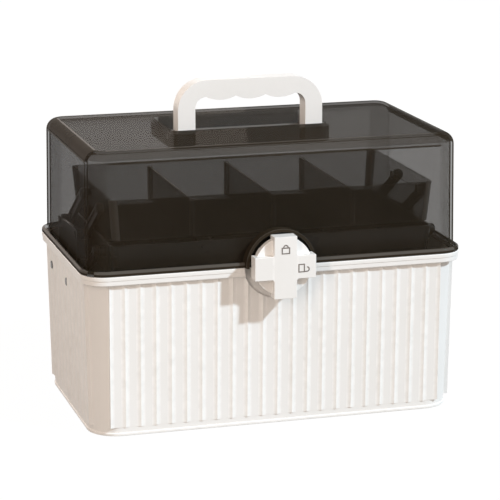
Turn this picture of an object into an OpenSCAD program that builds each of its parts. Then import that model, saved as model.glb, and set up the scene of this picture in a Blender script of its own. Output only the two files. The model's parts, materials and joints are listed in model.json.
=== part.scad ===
// Folding storage box: a fluted bin, a smoked lid with a folding handle, and two
// trays that swing up and back on four pairs of arms. Sizes are in millimetres.
// x runs to the right, y to the back and z up. The origin is the centre of the foot.

/* [Bin] */
// Width over the rim
rim_w = 330; // [316:1:350]
// Depth over the rim, front to back
rim_d = 196; // [190:1:212]
// Height of the bin up to the line where the lid parts from it
base_h = 138; // [132:1:160]
// How far the rim stands out from the walls
rim_out = 4.5; // [3.5:0.1:6]
// Height of the rim band
rim_h = 7.8; // [6.5:0.1:10]
// How far the rim's lower bead is set back from the upper one
bead_step = 0.7; // [0.3:0.1:1.2]
// Thickness of the walls of the bin and the lid
wall = 2.5; // [2:0.1:3]
// Thickness of the bin's floor
floor_t = 3; // [2:0.1:5]
// Corner radius of the bin's walls
bin_corner_r = 25; // [22:0.5:27]
// Corner radius of the lid's walls, which the rim and the flange run round
corner_r = 16.5; // [13:0.5:20]
// How far each wall leans in from the rim down to the foot
draft = 2.6; // [1:0.1:3.5]
// Height of the plinth
plinth_h = 2.8; // [2:0.1:6]
// How far the plinth stands out
plinth_out = 0.8; // [0.5:0.1:1.5]

/* [Flutes] */
// Number of flutes on the front and on the back
flutes_front = 22; // [16:1:26]
// Number of flutes on each side
flutes_side = 11; // [8:1:13]
// How far the ridges between the flutes stand out of the walls
ridge_out = 1; // [0.8:0.1:1.5]
// Width of a ridge's crest
ridge_w = 0.4; // [0.2:0.1:0.8]
// Depth of a flute below the ridges
flute_depth = 0.9; // [0.5:0.05:1.1]
// Distance from the last ridge to the outside of the next wall
flute_end_in = 16.5; // [15:0.5:19]
// Plain band between the plinth and the flutes
flute_foot_band = 4.6; // [2:0.1:8]

/* [Lid] */
// Height of the lid above the parting line
lid_h = 101.5; // [95:0.5:120]
// Thickness of the lid's flange
flange_t = 4.4; // [3.5:0.1:6]
// Rounding along the lid's top edges
lid_fillet = 10; // [6:0.5:12]
// How far each wall of the lid leans in from the flange to the top
lid_draft = 1.2; // [0.5:0.1:2.5]

/* [Handle] */
// Width over the handle's legs
handle_w = 128; // [115:1:140]
// Height of the handle above the lid
handle_rise = 42; // [38:0.5:50]
// Width of a leg
leg_w = 15.2; // [13:0.1:18]
// Height of the grip bar at its thickest
bar_h = 17.4; // [13:0.1:18]
// Thickness of the handle, front to back
handle_t = 16; // [14:0.5:17]
// Outer corner radius of the handle
handle_r = 26; // [20:0.5:30]
// Inner corner radius of the handle
handle_inner_r = 9.5; // [7:0.5:12]
// Number of finger bumps under the bar
grip_bumps = 3; // [2:1:3]
// Spacing of the finger bumps
bump_pitch = 26.3; // [22:0.1:27]
// Radius of a finger bump
bump_r = 29.9; // [25:0.1:40]
// Radius of the round studs that the handle turns on
stud_r = 3; // [2.5:0.1:3.5]
// How far the studs lie behind the handle's middle
stud_back = 1; // [0.5:0.1:1.5]
// How far the studs lie below the top of the lid
stud_drop = 6.1; // [5.8:0.1:7]
// Front face of the handle, from the middle of the bin
handle_front_y = -12.5; // [-20:0.5:0]

/* [Handle recess] */
// Room beside each leg
recess_side_gap = 5; // [4:0.1:7]
// Room behind the folded handle, for the fingers
recess_finger_room = 12; // [8:0.5:15]
// Radius of the bosses that carry the studs
stud_boss_r = 5; // [4.5:0.1:5.5]

/* [Latch] */
// Radius of the knob's disc
knob_r = 24.7; // [24.2:0.1:25.5]
// How far the cross's arms reach from the axis
arm_reach = 26.2; // [26:0.1:28]
// Thickness of the knob
knob_t = 11.7; // [10:0.1:14]
// Height of the knob's axis above the parting line
knob_lift = 2; // [1:0.1:5]
// How far the knob's back stands in front of the rim
knob_stand = 5.3; // [5.2:0.1:7]
// Width of the cross's arms
cross_w = 19.5; // [16:0.5:20]
// Depth of the four recesses beside the cross
quadrant_depth = 6; // [4:0.1:7]
// Radius of the knob's spindle
spindle_r = 5; // [4:0.1:5.5]
// Wall of the hub round the screw's head
hub_wall = 2.8; // [2:0.1:3.2]
// Radius of the screw's head
screw_head_r = 6.6; // [6.4:0.1:7]
// Thickness of the screw's head
screw_head_t = 1.8; // [1.2:0.1:1.8]
// Radius of the screw's shank
screw_r = 1.5; // [1.2:0.1:2]
// Length of the screw's shank
screw_l = 9.5; // [7:0.5:10.5]
// Room between the arms' ends and the ring round the knob
ring_gap = 2.2; // [2.1:0.1:2.8]
// Width of the bin's half ring
ring_w = 2; // [1.5:0.1:2.5]
// How far the bin's half ring stands in front of the rim
ring_stand = 8; // [6:0.1:9]
// Depth of the pocket in front of the half ring's floor
ring_depth = 6.1; // [5.5:0.1:6.5]
// Room between the arms' ends and the lid's half collar
collar_gap = 1.1; // [0.6:0.1:1.4]
// Width of the lid's half collar
collar_w = 2.7; // [2:0.1:3]
// How far the lid's half collar stands in front of the rim
collar_stand = 4.5; // [3.5:0.1:5]
// Inner radius of the knob's cam rib
cam_r = 21; // [20:0.5:22]
// Width of the cam rib
cam_w = 3; // [2:0.1:3.5]
// Angle that the cam rib covers
cam_angle = 100; // [80:5:110]
// Half the width of the lid's catch
catch_half_w = 8; // [5:0.5:9]
// Height of the lid's catch
catch_h = 6; // [4:0.5:7]
// Line width of the padlock marks
mark_line = 0.9; // [0.6:0.1:1.2]
// Thickness of the padlock marks
mark_t = 0.2; // [0.1:0.05:0.4]

/* [Trays] */
// Room between each side of the trays and the lid's walls
tray_side_gap = 18; // [18:0.5:24]
// Room in front of the trays
tray_front_gap = 7; // [6:0.5:12]
// Room behind the trays, which they need to swing back
tray_rear_gap = 21; // [20:0.5:26]
// How far the lower tray hangs below the parting line
tray_sink = 9; // [7:0.5:12]
// Height of the lower tray
lower_tray_h = 31; // [28:0.5:34]
// Height of the upper tray
upper_tray_h = 36; // [30:0.5:40]
// Room between the two trays
stack_gap = 2; // [1.5:0.1:4]
// Thickness of the trays' walls
tray_wall = 2; // [1.6:0.1:2.5]
// Corner radius of the trays
tray_r = 6; // [5:0.5:8]
// How far each wall of a tray leans in from its edge to its floor
tray_draft = 3; // [1:0.1:4]
// Bevel round the trays' feet
tray_foot = 2; // [1:0.1:2.5]
// Number of dividers in the lower tray
lower_dividers = 5; // [3:1:5]
// Number of dividers in the upper tray
upper_dividers = 3; // [1:1:3]
// Spacing of the lower tray's dividers
lower_divider_pitch = 49.3; // [40:0.1:50]
// Spacing of the upper tray's dividers
upper_divider_pitch = 70; // [50:0.5:80]
// Thickness of a divider
divider_t = 1.6; // [1.2:0.1:2]
// How far a divider ends below the tray's edge
divider_drop = 4; // [2:0.5:8]
// How far the divider guides stand out of the walls at the tray's floor
guide_out = 1.2; // [0.8:0.1:2]
// Width of a divider guide
guide_w = 1.4; // [1:0.1:2]

/* [Arms] */
// Length of the lower arms between their pivots
lower_arm_l = 72; // [70:0.5:74]
// Length of the upper arms between their pivots
upper_arm_l = 64; // [62:0.5:66]
// Distance from the lower tray's front edge to the front pivot
front_pivot_in = 23; // [20:0.5:28]
// Width of an arm
arm_w = 9; // [8:0.1:9.4]
// Thickness of an arm
arm_t = 3.5; // [3:0.1:3.6]
// Depth of the channel in an arm's outer face
channel_depth = 1.4; // [0.8:0.1:1.8]
// Width of the rims beside the channel
channel_rim = 1.5; // [1.2:0.1:2]
// Sideways room between neighbouring arms and plates
arm_gap = 0.8; // [0.6:0.1:0.9]
// How far the lower arms' feet lie below the parting line
arm_foot_drop = 26; // [24:0.5:28]
// How far the pivots on the lower tray lie below its edge
lower_pivot_drop = 8; // [7:0.5:9]
// How far the pivots on the upper tray lie below its edge
upper_pivot_drop = 12; // [10:0.5:13]
// Distance from the tray's rear edge to the rear pivot
rear_pivot_in = 7; // [7:0.1:9]
// Radius of the arm pins
pin_r = 2; // [1.5:0.1:2.2]
// Radius of the arm pins' heads
pin_head_r = 3.4; // [3:0.1:3.6]
// Thickness of the arm pins' heads
pin_head_t = 1; // [0.8:0.1:1.2]
// Radius of the bosses on the bin's side walls
bin_boss_r = 6; // [5:0.5:7]
// Radius of the bosses on the trays' side walls
tray_boss_r = 4.6; // [4.2:0.1:5]

/* [Cheek plates] */
// Thickness of the cheek plates outside the lower tray's arms
cheek_t = 2.5; // [2:0.1:2.5]
// Thickness of the webs that carry the cheek plates
web_t = 2; // [1.5:0.1:2]
// How far a cheek plate runs in front of the middle pivot
cheek_front = 9; // [8:0.5:12]
// Height of a cheek plate's rear edge above the middle pivot
cheek_rear_rise = 1; // [0:0.5:3]
// Height of a cheek plate's front edge above the middle pivot
cheek_front_rise = 6; // [4:0.5:7]

/* [Lid hinges] */
// Distance of each hinge from the middle
hinge_x = 95; // [80:1:110]
// Radius of the knuckles
knuckle_r = 4.5; // [4:0.1:5]
// Radius of the hinge pins
hinge_pin_r = 1.5; // [1.2:0.1:2]
// Width of the lid's knuckle
lid_knuckle_w = 12.8; // [10:0.1:16]
// Width of each of the bin's knuckles
bin_knuckle_w = 4.2; // [3.5:0.1:6]
// How far the hinge axis lies behind the rim
hinge_back = 3.5; // [3.3:0.1:4]
// How far the hinge axis lies above the parting line
hinge_lift = 2; // [1.8:0.1:2.5]

/* [Fits] */
// Gap all round a pin or spindle that turns in a bore
running = 0.05; // [0.02:0.01:0.08]
// How much a pressed pin is larger than its bore
press = 0.02; // [0.01:0.01:0.04]
// Gap between faces that pass each other
clear = 0.4; // [0.3:0.05:0.5]
// Gap beside a divider in its guides
divider_fit = 0.2; // [0.15:0.05:0.3]

/* [Hidden] */
$fn = 48;
hull_fn = 32;
sink = 1; // how far joined shapes run into each other
cut = 1; // how far a cut runs past the face that it opens
thin = 0.1; // thickness of the slices that a hull spans
hair = 0.1; // a little more room where a face has to stay free
face_gap = 0.3; // gap between two faces that only just clear each other
seat_room = 0.2; // room round a pin's head in its sunk seat
head_room = 0.6; // room round the head of the knob's screw
screw_tip_room = 0.5; // room past the tip of the knob's screw
cam_gap = 0.6; // room between the cam rib and the floor behind it
catch_in = 0.5; // how far the catch lies inside the cam rib
knuckle_gap = 0.5; // room round a knuckle in its notch
closed_mark_rise = 11.7; // how far the closed sign stands above the axis
open_mark_out = 10.8; // how far the open sign stands to the right of the axis
open_mark_drop = 1; // how far the open sign lies below the axis

// Gussets of the hinge knuckles
gusset_heel = 1.5; // how far the bin's gusset starts behind the rim
gusset_tail = 0.7; // how far in front of a knuckle's rear the bin's gusset meets it
gusset_drop = 2.4; // how far below the axis it does
gusset_front = 0.8; // how far behind a knuckle's front the gussets meet it
gusset_lift = 0.2; // gap below the lid's gusset
gusset_rise = 1.5; // how far the lid's gusset rises above its knuckle

// Cheek plates
cheek_foot_cut = 4; // corner cut off the front foot
cheek_rear_cut = 3; // corner cut off the rear foot
cheek_top_cut = 3; // corner cut off the front top
web_drop = 3; // how far the front web ends below the pivot
web_bite = 0.7; // how far the rear web runs into the tray's wall

rim_z = base_h - rim_h; // underside of the rim
wall_w = rim_w - 2 * rim_out;
wall_d = rim_d - 2 * rim_out;
inner_half_w = wall_w / 2 - wall;
inner_half_d = wall_d / 2 - wall;
lean = atan(draft / rim_z);
front_y = -rim_d / 2; // front face of the rim and the flange

flute_z0 = plinth_h + flute_foot_band;
flute_z1 = rim_z + sink; // the flutes run up into the rim
flute_fn = 180;

flange_z = base_h + flange_t;
lid_top = base_h + lid_h;

handle_top = lid_top + handle_rise;
handle_back_y = handle_front_y + handle_t;
stud_y = handle_front_y + handle_t / 2 + stud_back;
stud_z = lid_top - stud_drop;
foot_r = handle_back_y - stud_y; // radius of the legs' round feet
recess_half_w = handle_w / 2 + recess_side_gap;
recess_r = recess_side_gap; // the corners run round the legs' corners
recess_y0 = handle_front_y - clear - hair;
recess_y1 = stud_y + handle_top - stud_z + recess_finger_room;
recess_z = stud_z - foot_r - clear;
stud_end = recess_half_w + wall - clear; // far end of a stud
boss_face = handle_w / 2 + clear + hair; // inner face of a stud's boss

knob_z = base_h + knob_lift;
knob_back = front_y - knob_stand;
knob_front = knob_back - knob_t;
hub_front = knob_back + face_gap;
hub_back = front_y - clear;
head_seat = hub_back - screw_head_t - clear; // back face of the spindle
head_bore_r = screw_head_r + head_room;
hub_r = head_bore_r + hub_wall;
ring_inner_r = arm_reach + ring_gap;
ring_front = front_y - ring_stand;
ring_floor = ring_front + ring_depth;
collar_inner_r = arm_reach + collar_gap;
cam_back = ring_floor - cam_gap;
catch_front = cam_back + face_gap; // the catch stops just behind the cam rib
catch_z = knob_z + cam_r - catch_in - catch_h;

tray_w = 2 * (inner_half_w - tray_side_gap);
tray_y0 = -inner_half_d + tray_front_gap;
tray_y1 = inner_half_d - tray_rear_gap;
tray_y = (tray_y0 + tray_y1) / 2;
tray_d = tray_y1 - tray_y0;
lower_z0 = base_h - tray_sink;
lower_z1 = lower_z0 + lower_tray_h;
upper_z0 = lower_z1 + stack_gap;
upper_z1 = upper_z0 + upper_tray_h;

foot_pivot_z = base_h - arm_foot_drop;
lower_pivot_z = lower_z1 - lower_pivot_drop;
upper_pivot_z = upper_z1 - upper_pivot_drop;
lower_arm_angle = asin((lower_pivot_z - foot_pivot_z) / lower_arm_l);
upper_arm_angle = asin((upper_pivot_z - lower_pivot_z) / upper_arm_l);
arm_spacing = (tray_d - front_pivot_in - rear_pivot_in) / 2; // between the arms of a pair
rear_pivot_y = tray_y1 - rear_pivot_in;
middle_pivot_y = rear_pivot_y - arm_spacing;
front_pivot_y = middle_pivot_y - arm_spacing;
foot_front_y = front_pivot_y + lower_arm_l * cos(lower_arm_angle);
foot_rear_y = foot_front_y + arm_spacing;
upper_front_y = middle_pivot_y - upper_arm_l * cos(upper_arm_angle);
upper_rear_y = upper_front_y + arm_spacing;

// Planes of the arms and cheek plates, out from the middle
upper_arm_x = tray_w / 2 + arm_gap - hair;
lower_arm_x = upper_arm_x + arm_t + arm_gap;
cheek_x = lower_arm_x + arm_t + arm_gap;
cheek_end = cheek_x + cheek_t;

hinge_y = rim_d / 2 + hinge_back;
hinge_z = base_h + hinge_lift;
ear_x0 = lid_knuckle_w / 2 + clear;
ear_x1 = ear_x0 + bin_knuckle_w;
notch_r = knuckle_r + knuckle_gap;

// Half of the bin's width or depth at height z, from that half at the rim
function half_at(half, z) = half - draft * (1 - z / rim_z);

pin_seat_x = half_at(wall_w / 2, foot_pivot_z) - face_gap; // floor of the bin's sunk pin seats

// How far a tray's wall leans in at height z
function tray_inset(z, z0, z1) = tray_draft * (z1 - z) / (z1 - z0);

// Middles of n dividers, left to right
function divider_places(n, pitch) = [for (i = [0 : n - 1]) (i - (n - 1) / 2) * pitch];

// Rectangle with round corners
module rounded(w, d, r) {
    square([w - 2 * r, d], center = true);
    square([w, d - 2 * r], center = true);
    for (x = [-1, 1], y = [-1, 1])
        translate([x * (w / 2 - r), y * (d / 2 - r)])
            circle(r);
}

// Flat plate with round corners between two heights
module plate(w, d, r, z0, z1) {
    translate([0, 0, z0])
        linear_extrude(z1 - z0)
            rounded(w, d, r);
}

// Round bar along x between two distances from the middle
module bar_x(r, x0, x1, y, z) {
    translate([x0, y, z])
        rotate([0, 90, 0])
            cylinder(r = r, h = x1 - x0);
}

// Round bar along y at the knob's axis
module bar_y(r, y0, y1) {
    translate([0, y0, knob_z])
        rotate([-90, 0, 0])
            cylinder(r = r, h = y1 - y0);
}

// Outline in the y-z plane made into a slab between two distances along x
module slab_x(x0, x1) {
    translate([x0, 0, 0])
        rotate([90, 0, 90])
            linear_extrude(x1 - x0)
                children();
}

// The same shape on the right and, mirrored, on the left
module both_sides() {
    children();
    mirror([1, 0, 0])
        children();
}

// A shape at the left side or the right side
module one_side(left) {
    if (left)
        mirror([1, 0, 0])
            children();
    else
        children();
}

// Solid that the bin's walls enclose, set in by a wall's thickness
module bin_block(inset, z0, z1) {
    hull() {
        for (z = [z0, z1 - thin])
            plate(2 * (half_at(wall_w / 2, z) - inset), 2 * (half_at(wall_d / 2, z) - inset),
                bin_corner_r - inset, z, z + thin, $fn = hull_fn);
    }
}

// Outline of one wall's flutes: a strip with round hollows between its ridges
module flute_outline(width, count) {
    pitch = width / count;
    half_chord = (pitch - ridge_w) / 2;
    r = (half_chord * half_chord + flute_depth * flute_depth) / (2 * flute_depth);
    difference() {
        translate([-width / 2, -ridge_out])
            square([width, ridge_out + 2 * wall]);
        for (i = [0 : count - 1])
            translate([(i + 0.5) * pitch - width / 2, flute_depth - ridge_out - r])
                circle(r, $fn = flute_fn);
    }
}

// One wall's flutes, which lean with the wall
module flute_wall(width, count, half) {
    translate([0, -half_at(half, flute_z0), flute_z0])
        rotate([lean, 0, 0])
            linear_extrude((flute_z1 - flute_z0) / cos(lean))
                flute_outline(width, count);
}

module all_flutes() {
    for (turn = [0, 180])
        rotate([0, 0, turn])
            flute_wall(wall_w - 2 * flute_end_in, flutes_front, wall_d / 2);
    for (turn = [90, 270])
        rotate([0, 0, turn])
            flute_wall(wall_d - 2 * flute_end_in, flutes_side, wall_w / 2);
}

// Rim of two beads, the lower one set back
module rim() {
    middle = base_h - rim_h / 2;
    plate(rim_w, rim_d, corner_r + rim_out, middle, base_h);
    plate(rim_w - 2 * bead_step, rim_d - 2 * bead_step, corner_r + rim_out - bead_step,
        rim_z, middle + thin);
}

// Knuckle of one hinge on the bin, as an outline in the y-z plane
module bin_knuckle_outline() {
    translate([hinge_y, hinge_z])
        circle(knuckle_r);
    root_y = rim_d / 2 - rim_out / 2;
    foot_z = rim_z + sink;
    polygon([
        [root_y, foot_z], [rim_d / 2 + gusset_heel, foot_z],
        [hinge_y + knuckle_r - gusset_tail, hinge_z - gusset_drop], [hinge_y, hinge_z],
        [hinge_y - knuckle_r + gusset_front, base_h], [root_y, base_h]
    ]);
}

// Knuckle of one hinge on the lid, with the gusset that joins it to the rear wall
module lid_knuckle_outline() {
    translate([hinge_y, hinge_z])
        circle(knuckle_r);
    root_y = wall_d / 2 - sink;
    foot_z = base_h + gusset_lift;
    top_z = hinge_z + knuckle_r;
    polygon([
        [root_y, foot_z], [hinge_y - knuckle_r + gusset_front, foot_z], [hinge_y, hinge_z],
        [hinge_y, top_z], [root_y, top_z + gusset_rise]
    ]);
}

// Round room for the other half's knuckles
module knuckle_room(x0, x1) {
    bar_x(notch_r, x0, x1, hinge_y, hinge_z);
}

// Half ring and hub in front of the bin, which carry the latch knob
module latch_seat() {
    intersection() {
        difference() {
            bar_y(ring_inner_r + ring_w, ring_front, -wall_d / 2 + sink);
            bar_y(ring_inner_r, ring_front - cut, ring_floor);
        }
        translate([-rim_w / 2, ring_front - cut, 0])
            cube([rim_w, rim_d, base_h]);
    }
    bar_y(hub_r, hub_front, hub_back);
}

module base_bin() {
    color([0.93, 0.90, 0.87])
    difference() {
        union() {
            bin_block(0, 0, base_h);
            plate(2 * (half_at(wall_w / 2, 0) + plinth_out), 2 * (half_at(wall_d / 2, 0) + plinth_out),
                bin_corner_r + plinth_out, 0, plinth_h);
            all_flutes();
            rim();
            latch_seat();
            for (side = [-1, 1], ear = [-ear_x1, ear_x0])
                slab_x(side * hinge_x + ear, side * hinge_x + ear + bin_knuckle_w)
                    bin_knuckle_outline();
        }
        // The inside, which leaves the arm bosses standing
        difference() {
            bin_block(wall, floor_t, base_h + cut);
            both_sides()
                for (y = [foot_front_y, foot_rear_y])
                    bar_x(bin_boss_r, lower_arm_x + arm_t + clear - hair, wall_w / 2, y, foot_pivot_z);
        }
        // Bores and sunk seats for the arm pins
        both_sides()
            for (y = [foot_front_y, foot_rear_y]) {
                bar_x(pin_r - press, lower_arm_x, rim_w / 2, y, foot_pivot_z);
                bar_x(pin_head_r + seat_room, pin_seat_x, rim_w / 2, y, foot_pivot_z);
            }
        // Spindle bore, the room for the screw's head and its way out behind
        bar_y(spindle_r + running, hub_front - cut, head_seat);
        bar_y(head_bore_r, head_seat - hair, -inner_half_d + cut);
        // Hinge pin bores and the room for the lid's knuckles
        for (side = [-1, 1]) {
            bar_x(hinge_pin_r - press, side * hinge_x - ear_x1 - cut, side * hinge_x + ear_x1 + cut,
                hinge_y, hinge_z);
            knuckle_room(side * hinge_x - ear_x0, side * hinge_x + ear_x0);
        }
    }
}

// Corner of the lid's top: a quarter round swept round the upright axis
module top_corner(r, fillet) {
    rotate_extrude($fn = hull_fn)
        polygon(concat(
            [[0, 0]],
            [for (a = [0 : 10 : 90]) [r - fillet + fillet * cos(a), fillet * sin(a)]],
            [[0, fillet]]
        ));
}

// Solid that the lid's walls and top enclose, set in by a wall's thickness
module lid_block(inset, z0) {
    r = corner_r - inset;
    fillet = lid_fillet - inset;
    hull() {
        plate(wall_w - 2 * inset, wall_d - 2 * inset, r, z0, z0 + thin, $fn = hull_fn);
        for (x = [-1, 1], y = [-1, 1])
            translate([
                x * (wall_w / 2 - inset - lid_draft - r), y * (wall_d / 2 - inset - lid_draft - r),
                lid_top - inset - fillet
            ])
                top_corner(r, fillet);
    }
}

// Plate shape of the handle recess, grown by a wall's thickness
module recess_block(grow, z0, z1) {
    translate([0, (recess_y0 + recess_y1) / 2, 0])
        plate(2 * (recess_half_w + grow), recess_y1 - recess_y0 + 2 * grow, recess_r + grow, z0, z1);
}

module lid_shell() {
    color([0.16, 0.14, 0.13, 0.45])
    difference() {
        union() {
            difference() {
                union() {
                    lid_block(0, base_h);
                    plate(rim_w, rim_d, corner_r + rim_out, base_h, flange_z);
                }
                lid_block(wall, base_h - cut);
            }
            recess_block(wall, recess_z - wall, lid_top - wall / 2);
            // Half collar round the knob, open below
            intersection() {
                difference() {
                    bar_y(collar_inner_r + collar_w, front_y - collar_stand,
                        -wall_d / 2 + lid_draft / 2 + sink);
                    bar_y(collar_inner_r, front_y - collar_stand - cut, -wall_d / 2 - lid_draft);
                    translate([-collar_inner_r, front_y - collar_stand - cut, knob_z - arm_reach])
                        cube([2 * collar_inner_r, collar_stand + rim_out + cut - lid_draft, arm_reach]);
                }
                translate([-rim_w / 2, front_y - collar_stand - cut, base_h])
                    cube([rim_w, rim_d, lid_h]);
            }
            // The catch behind the knob
            translate([-catch_half_w, catch_front, catch_z])
                cube([2 * catch_half_w, -wall_d / 2 + sink - catch_front, catch_h]);
            for (side = [-1, 1])
                slab_x(side * hinge_x - lid_knuckle_w / 2, side * hinge_x + lid_knuckle_w / 2)
                    lid_knuckle_outline();
        }
        // The recess, which leaves the bosses of the handle's studs standing
        difference() {
            recess_block(0, recess_z, lid_top + cut);
            both_sides()
                bar_x(stud_boss_r, boss_face, recess_half_w + wall, stud_y, stud_z);
        }
        both_sides()
            bar_x(stud_r + running, boss_face - cut, recess_half_w + wall + cut, stud_y, stud_z);
        for (side = [-1, 1]) {
            bar_x(hinge_pin_r + running, side * hinge_x - ear_x1, side * hinge_x + ear_x1, hinge_y, hinge_z);
            for (ear = [-1, 1])
                knuckle_room(
                    side * hinge_x + ear * (ear_x0 + ear_x1) / 2 - bin_knuckle_w / 2 - clear,
                    side * hinge_x + ear * (ear_x0 + ear_x1) / 2 + bin_knuckle_w / 2 + clear);
        }
    }
}

module hinge_pin(side) {
    color([0.75, 0.75, 0.77])
        bar_x(hinge_pin_r, side * hinge_x - ear_x1, side * hinge_x + ear_x1, hinge_y, hinge_z);
}

// Front view of the handle: an arch with finger bumps under its bar
module handle_outline() {
    half = handle_w / 2;
    inner = half - leg_w;
    bump_depth = bump_r - sqrt(bump_r * bump_r - bump_pitch * bump_pitch / 4);
    inner_top = handle_top - bar_h + bump_depth;
    foot = stud_z - foot_r;
    difference() {
        union() {
            translate([-half, foot])
                square([2 * half, handle_top - handle_r - foot]);
            translate([-half + handle_r, foot])
                square([2 * (half - handle_r), handle_top - foot]);
            for (x = [-1, 1])
                translate([x * (half - handle_r), handle_top - handle_r])
                    circle(handle_r);
        }
        difference() {
            union() {
                translate([-inner, foot - cut])
                    square([2 * inner, inner_top - handle_inner_r - foot + cut]);
                translate([-inner + handle_inner_r, foot - cut])
                    square([2 * (inner - handle_inner_r), inner_top - foot + cut]);
                for (x = [-1, 1])
                    translate([x * (inner - handle_inner_r), inner_top - handle_inner_r])
                        circle(handle_inner_r);
            }
            for (i = [0 : grip_bumps - 1])
                translate([(i - (grip_bumps - 1) / 2) * bump_pitch, handle_top - bar_h + bump_r])
                    circle(bump_r);
        }
    }
}

// Side view of the handle: its feet are round, so that it can fold
module handle_side_outline() {
    front_foot = handle_front_y + foot_r;
    translate([handle_front_y, stud_z])
        square([handle_t, handle_top - stud_z + cut]);
    translate([front_foot, stud_z - foot_r])
        square([stud_y - front_foot, foot_r + sink]);
    for (y = [front_foot, stud_y])
        translate([y, stud_z])
            circle(foot_r);
}

module handle() {
    color([0.92, 0.89, 0.86]) {
        intersection() {
            translate([0, handle_back_y, 0])
                rotate([90, 0, 0])
                    linear_extrude(handle_t)
                        handle_outline();
            slab_x(-handle_w, handle_w)
                handle_side_outline();
        }
        both_sides()
            bar_x(stud_r, handle_w / 2 - leg_w / 2, stud_end, stud_y, stud_z);
    }
}

module latch_knob() {
    color([0.92, 0.89, 0.86])
    difference() {
        union() {
            bar_y(knob_r, knob_front + quadrant_depth, knob_back);
            // The cross
            for (turn = [0, 90])
                translate([0, knob_front + knob_t / 2, knob_z])
                    rotate([0, turn, 0])
                        cube([cross_w, knob_t, 2 * arm_reach], center = true);
            bar_y(spindle_r, knob_back - sink, head_seat);
            // Cam rib on the back, over the lid's catch when locked
            difference() {
                bar_y(cam_r + cam_w, knob_back - sink, cam_back);
                bar_y(cam_r, knob_back, cam_back + cut);
                for (side = [-1, 1])
                    translate([0, knob_back, knob_z])
                        rotate([0, side * cam_angle / 2, 0])
                            mirror([side > 0 ? 0 : 1, 0, 0])
                                translate([0, 0, -2 * knob_r])
                                    cube([2 * knob_r, 2 * knob_r, 4 * knob_r]);
            }
        }
        bar_y(screw_r - press, head_seat - screw_l - screw_tip_room, head_seat + cut);
    }
}

module latch_screw() {
    color([0.70, 0.70, 0.72]) {
        bar_y(screw_head_r, head_seat, head_seat + screw_head_t);
        bar_y(screw_r, head_seat - screw_l, head_seat + sink);
    }
}

// Padlock sign: a body with a half-round shackle, drawn as lines. The open one's shackle
// stands clear on one side.
module padlock(open) {
    body_w = 7.2;
    body_h = 5.6;
    shackle_r = 2.3;
    lift = open ? 1.9 : 0;
    shift = open ? 1.1 : 0;
    difference() {
        translate([-body_w / 2, 0])
            square([body_w, body_h]);
        translate([mark_line - body_w / 2, mark_line])
            square([body_w - 2 * mark_line, body_h - 2 * mark_line]);
    }
    translate([shift, body_h + lift])
        intersection() {
            difference() {
                circle(shackle_r);
                circle(shackle_r - mark_line);
            }
            translate([-shackle_r, 0])
                square(2 * shackle_r);
        }
    if (open)
        translate([shift + shackle_r - mark_line, body_h])
            square([mark_line, lift + thin]);
}

// A mark laid on the knob's face, at a place given from the axis and turned
module face_mark(x, z, turn) {
    translate([x, knob_front, knob_z + z])
        rotate([90, 0, 0])
            linear_extrude(mark_t)
                rotate([0, 0, turn])
                    children();
}

module closed_padlock_mark() {
    color([0.45, 0.42, 0.40])
        face_mark(0, closed_mark_rise, 0)
            padlock(false);
}

module open_padlock_mark() {
    color([0.45, 0.42, 0.40])
        face_mark(open_mark_out, -open_mark_drop, -90)
            padlock(true);
}

// Solid that a tray's walls enclose, set in by a wall's thickness
module tray_block(z0, z1, inset, bottom, top, foot) {
    hull() {
        for (slice = [[bottom, foot], [bottom + foot, 0], [top - thin, 0]]) {
            in = tray_inset(slice[0], z0, z1) + inset + slice[1];
            translate([0, tray_y, 0])
                plate(tray_w - 2 * in, tray_d - 2 * in, tray_r - inset,
                    slice[0], slice[0] + thin, $fn = hull_fn);
        }
    }
}

// Pairs of upright ribs that hold the dividers, from the front and the rear wall inwards
module divider_guides(z0, z1, places) {
    reach = tray_inset(z0 + tray_wall, z0, z1) + tray_wall + guide_out;
    for (x = places, side = [-1, 1], y = [tray_y0, tray_y1 - reach])
        translate([x + side * (divider_t / 2 + divider_fit + guide_w / 2) - guide_w / 2, y, z0])
            cube([guide_w, reach, z1 - divider_drop - z0]);
}

// A tray without its arm fittings
module open_tray(z0, z1, places) {
    difference() {
        tray_block(z0, z1, 0, z0, z1, tray_foot);
        difference() {
            tray_block(z0, z1, tray_wall, z0 + tray_wall, z1 + cut, 0);
            divider_guides(z0, z1, places);
        }
    }
}

// Outline of a cheek plate in the y-z plane
module cheek_outline() {
    front = middle_pivot_y - cheek_front;
    top_z = lower_pivot_z + cheek_front_rise;
    polygon([
        [front, lower_z0 + cheek_foot_cut], [front + cheek_foot_cut, lower_z0],
        [tray_y1 - cheek_rear_cut, lower_z0], [tray_y1, lower_z0 + cheek_rear_cut],
        [tray_y1, lower_pivot_z + cheek_rear_rise], [front + cheek_top_cut, top_z],
        [front, top_z - cheek_top_cut]
    ]);
}

// Cheek plate of the right side with its two webs
module cheek() {
    front_web_z = lower_z0 + cheek_foot_cut;
    rear_web_z = lower_z0 + cheek_rear_cut;
    rear_web_t = web_t - tray_inset(lower_pivot_z, lower_z0, lower_z1) + web_bite;
    slab_x(cheek_x, cheek_end)
        cheek_outline();
    // Front web, which stays below the upper front arm
    translate([tray_w / 2 - tray_draft - sink / 2, middle_pivot_y - cheek_front, front_web_z])
        cube([cheek_end - tray_w / 2 + tray_draft, web_t, lower_pivot_z - web_drop - front_web_z]);
    // Rear web
    translate([tray_w / 2 - tray_r, tray_y1 - web_t, rear_web_z])
        cube([cheek_end - tray_w / 2 + tray_r - thin, rear_web_t, lower_pivot_z - rear_web_z]);
}

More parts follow.
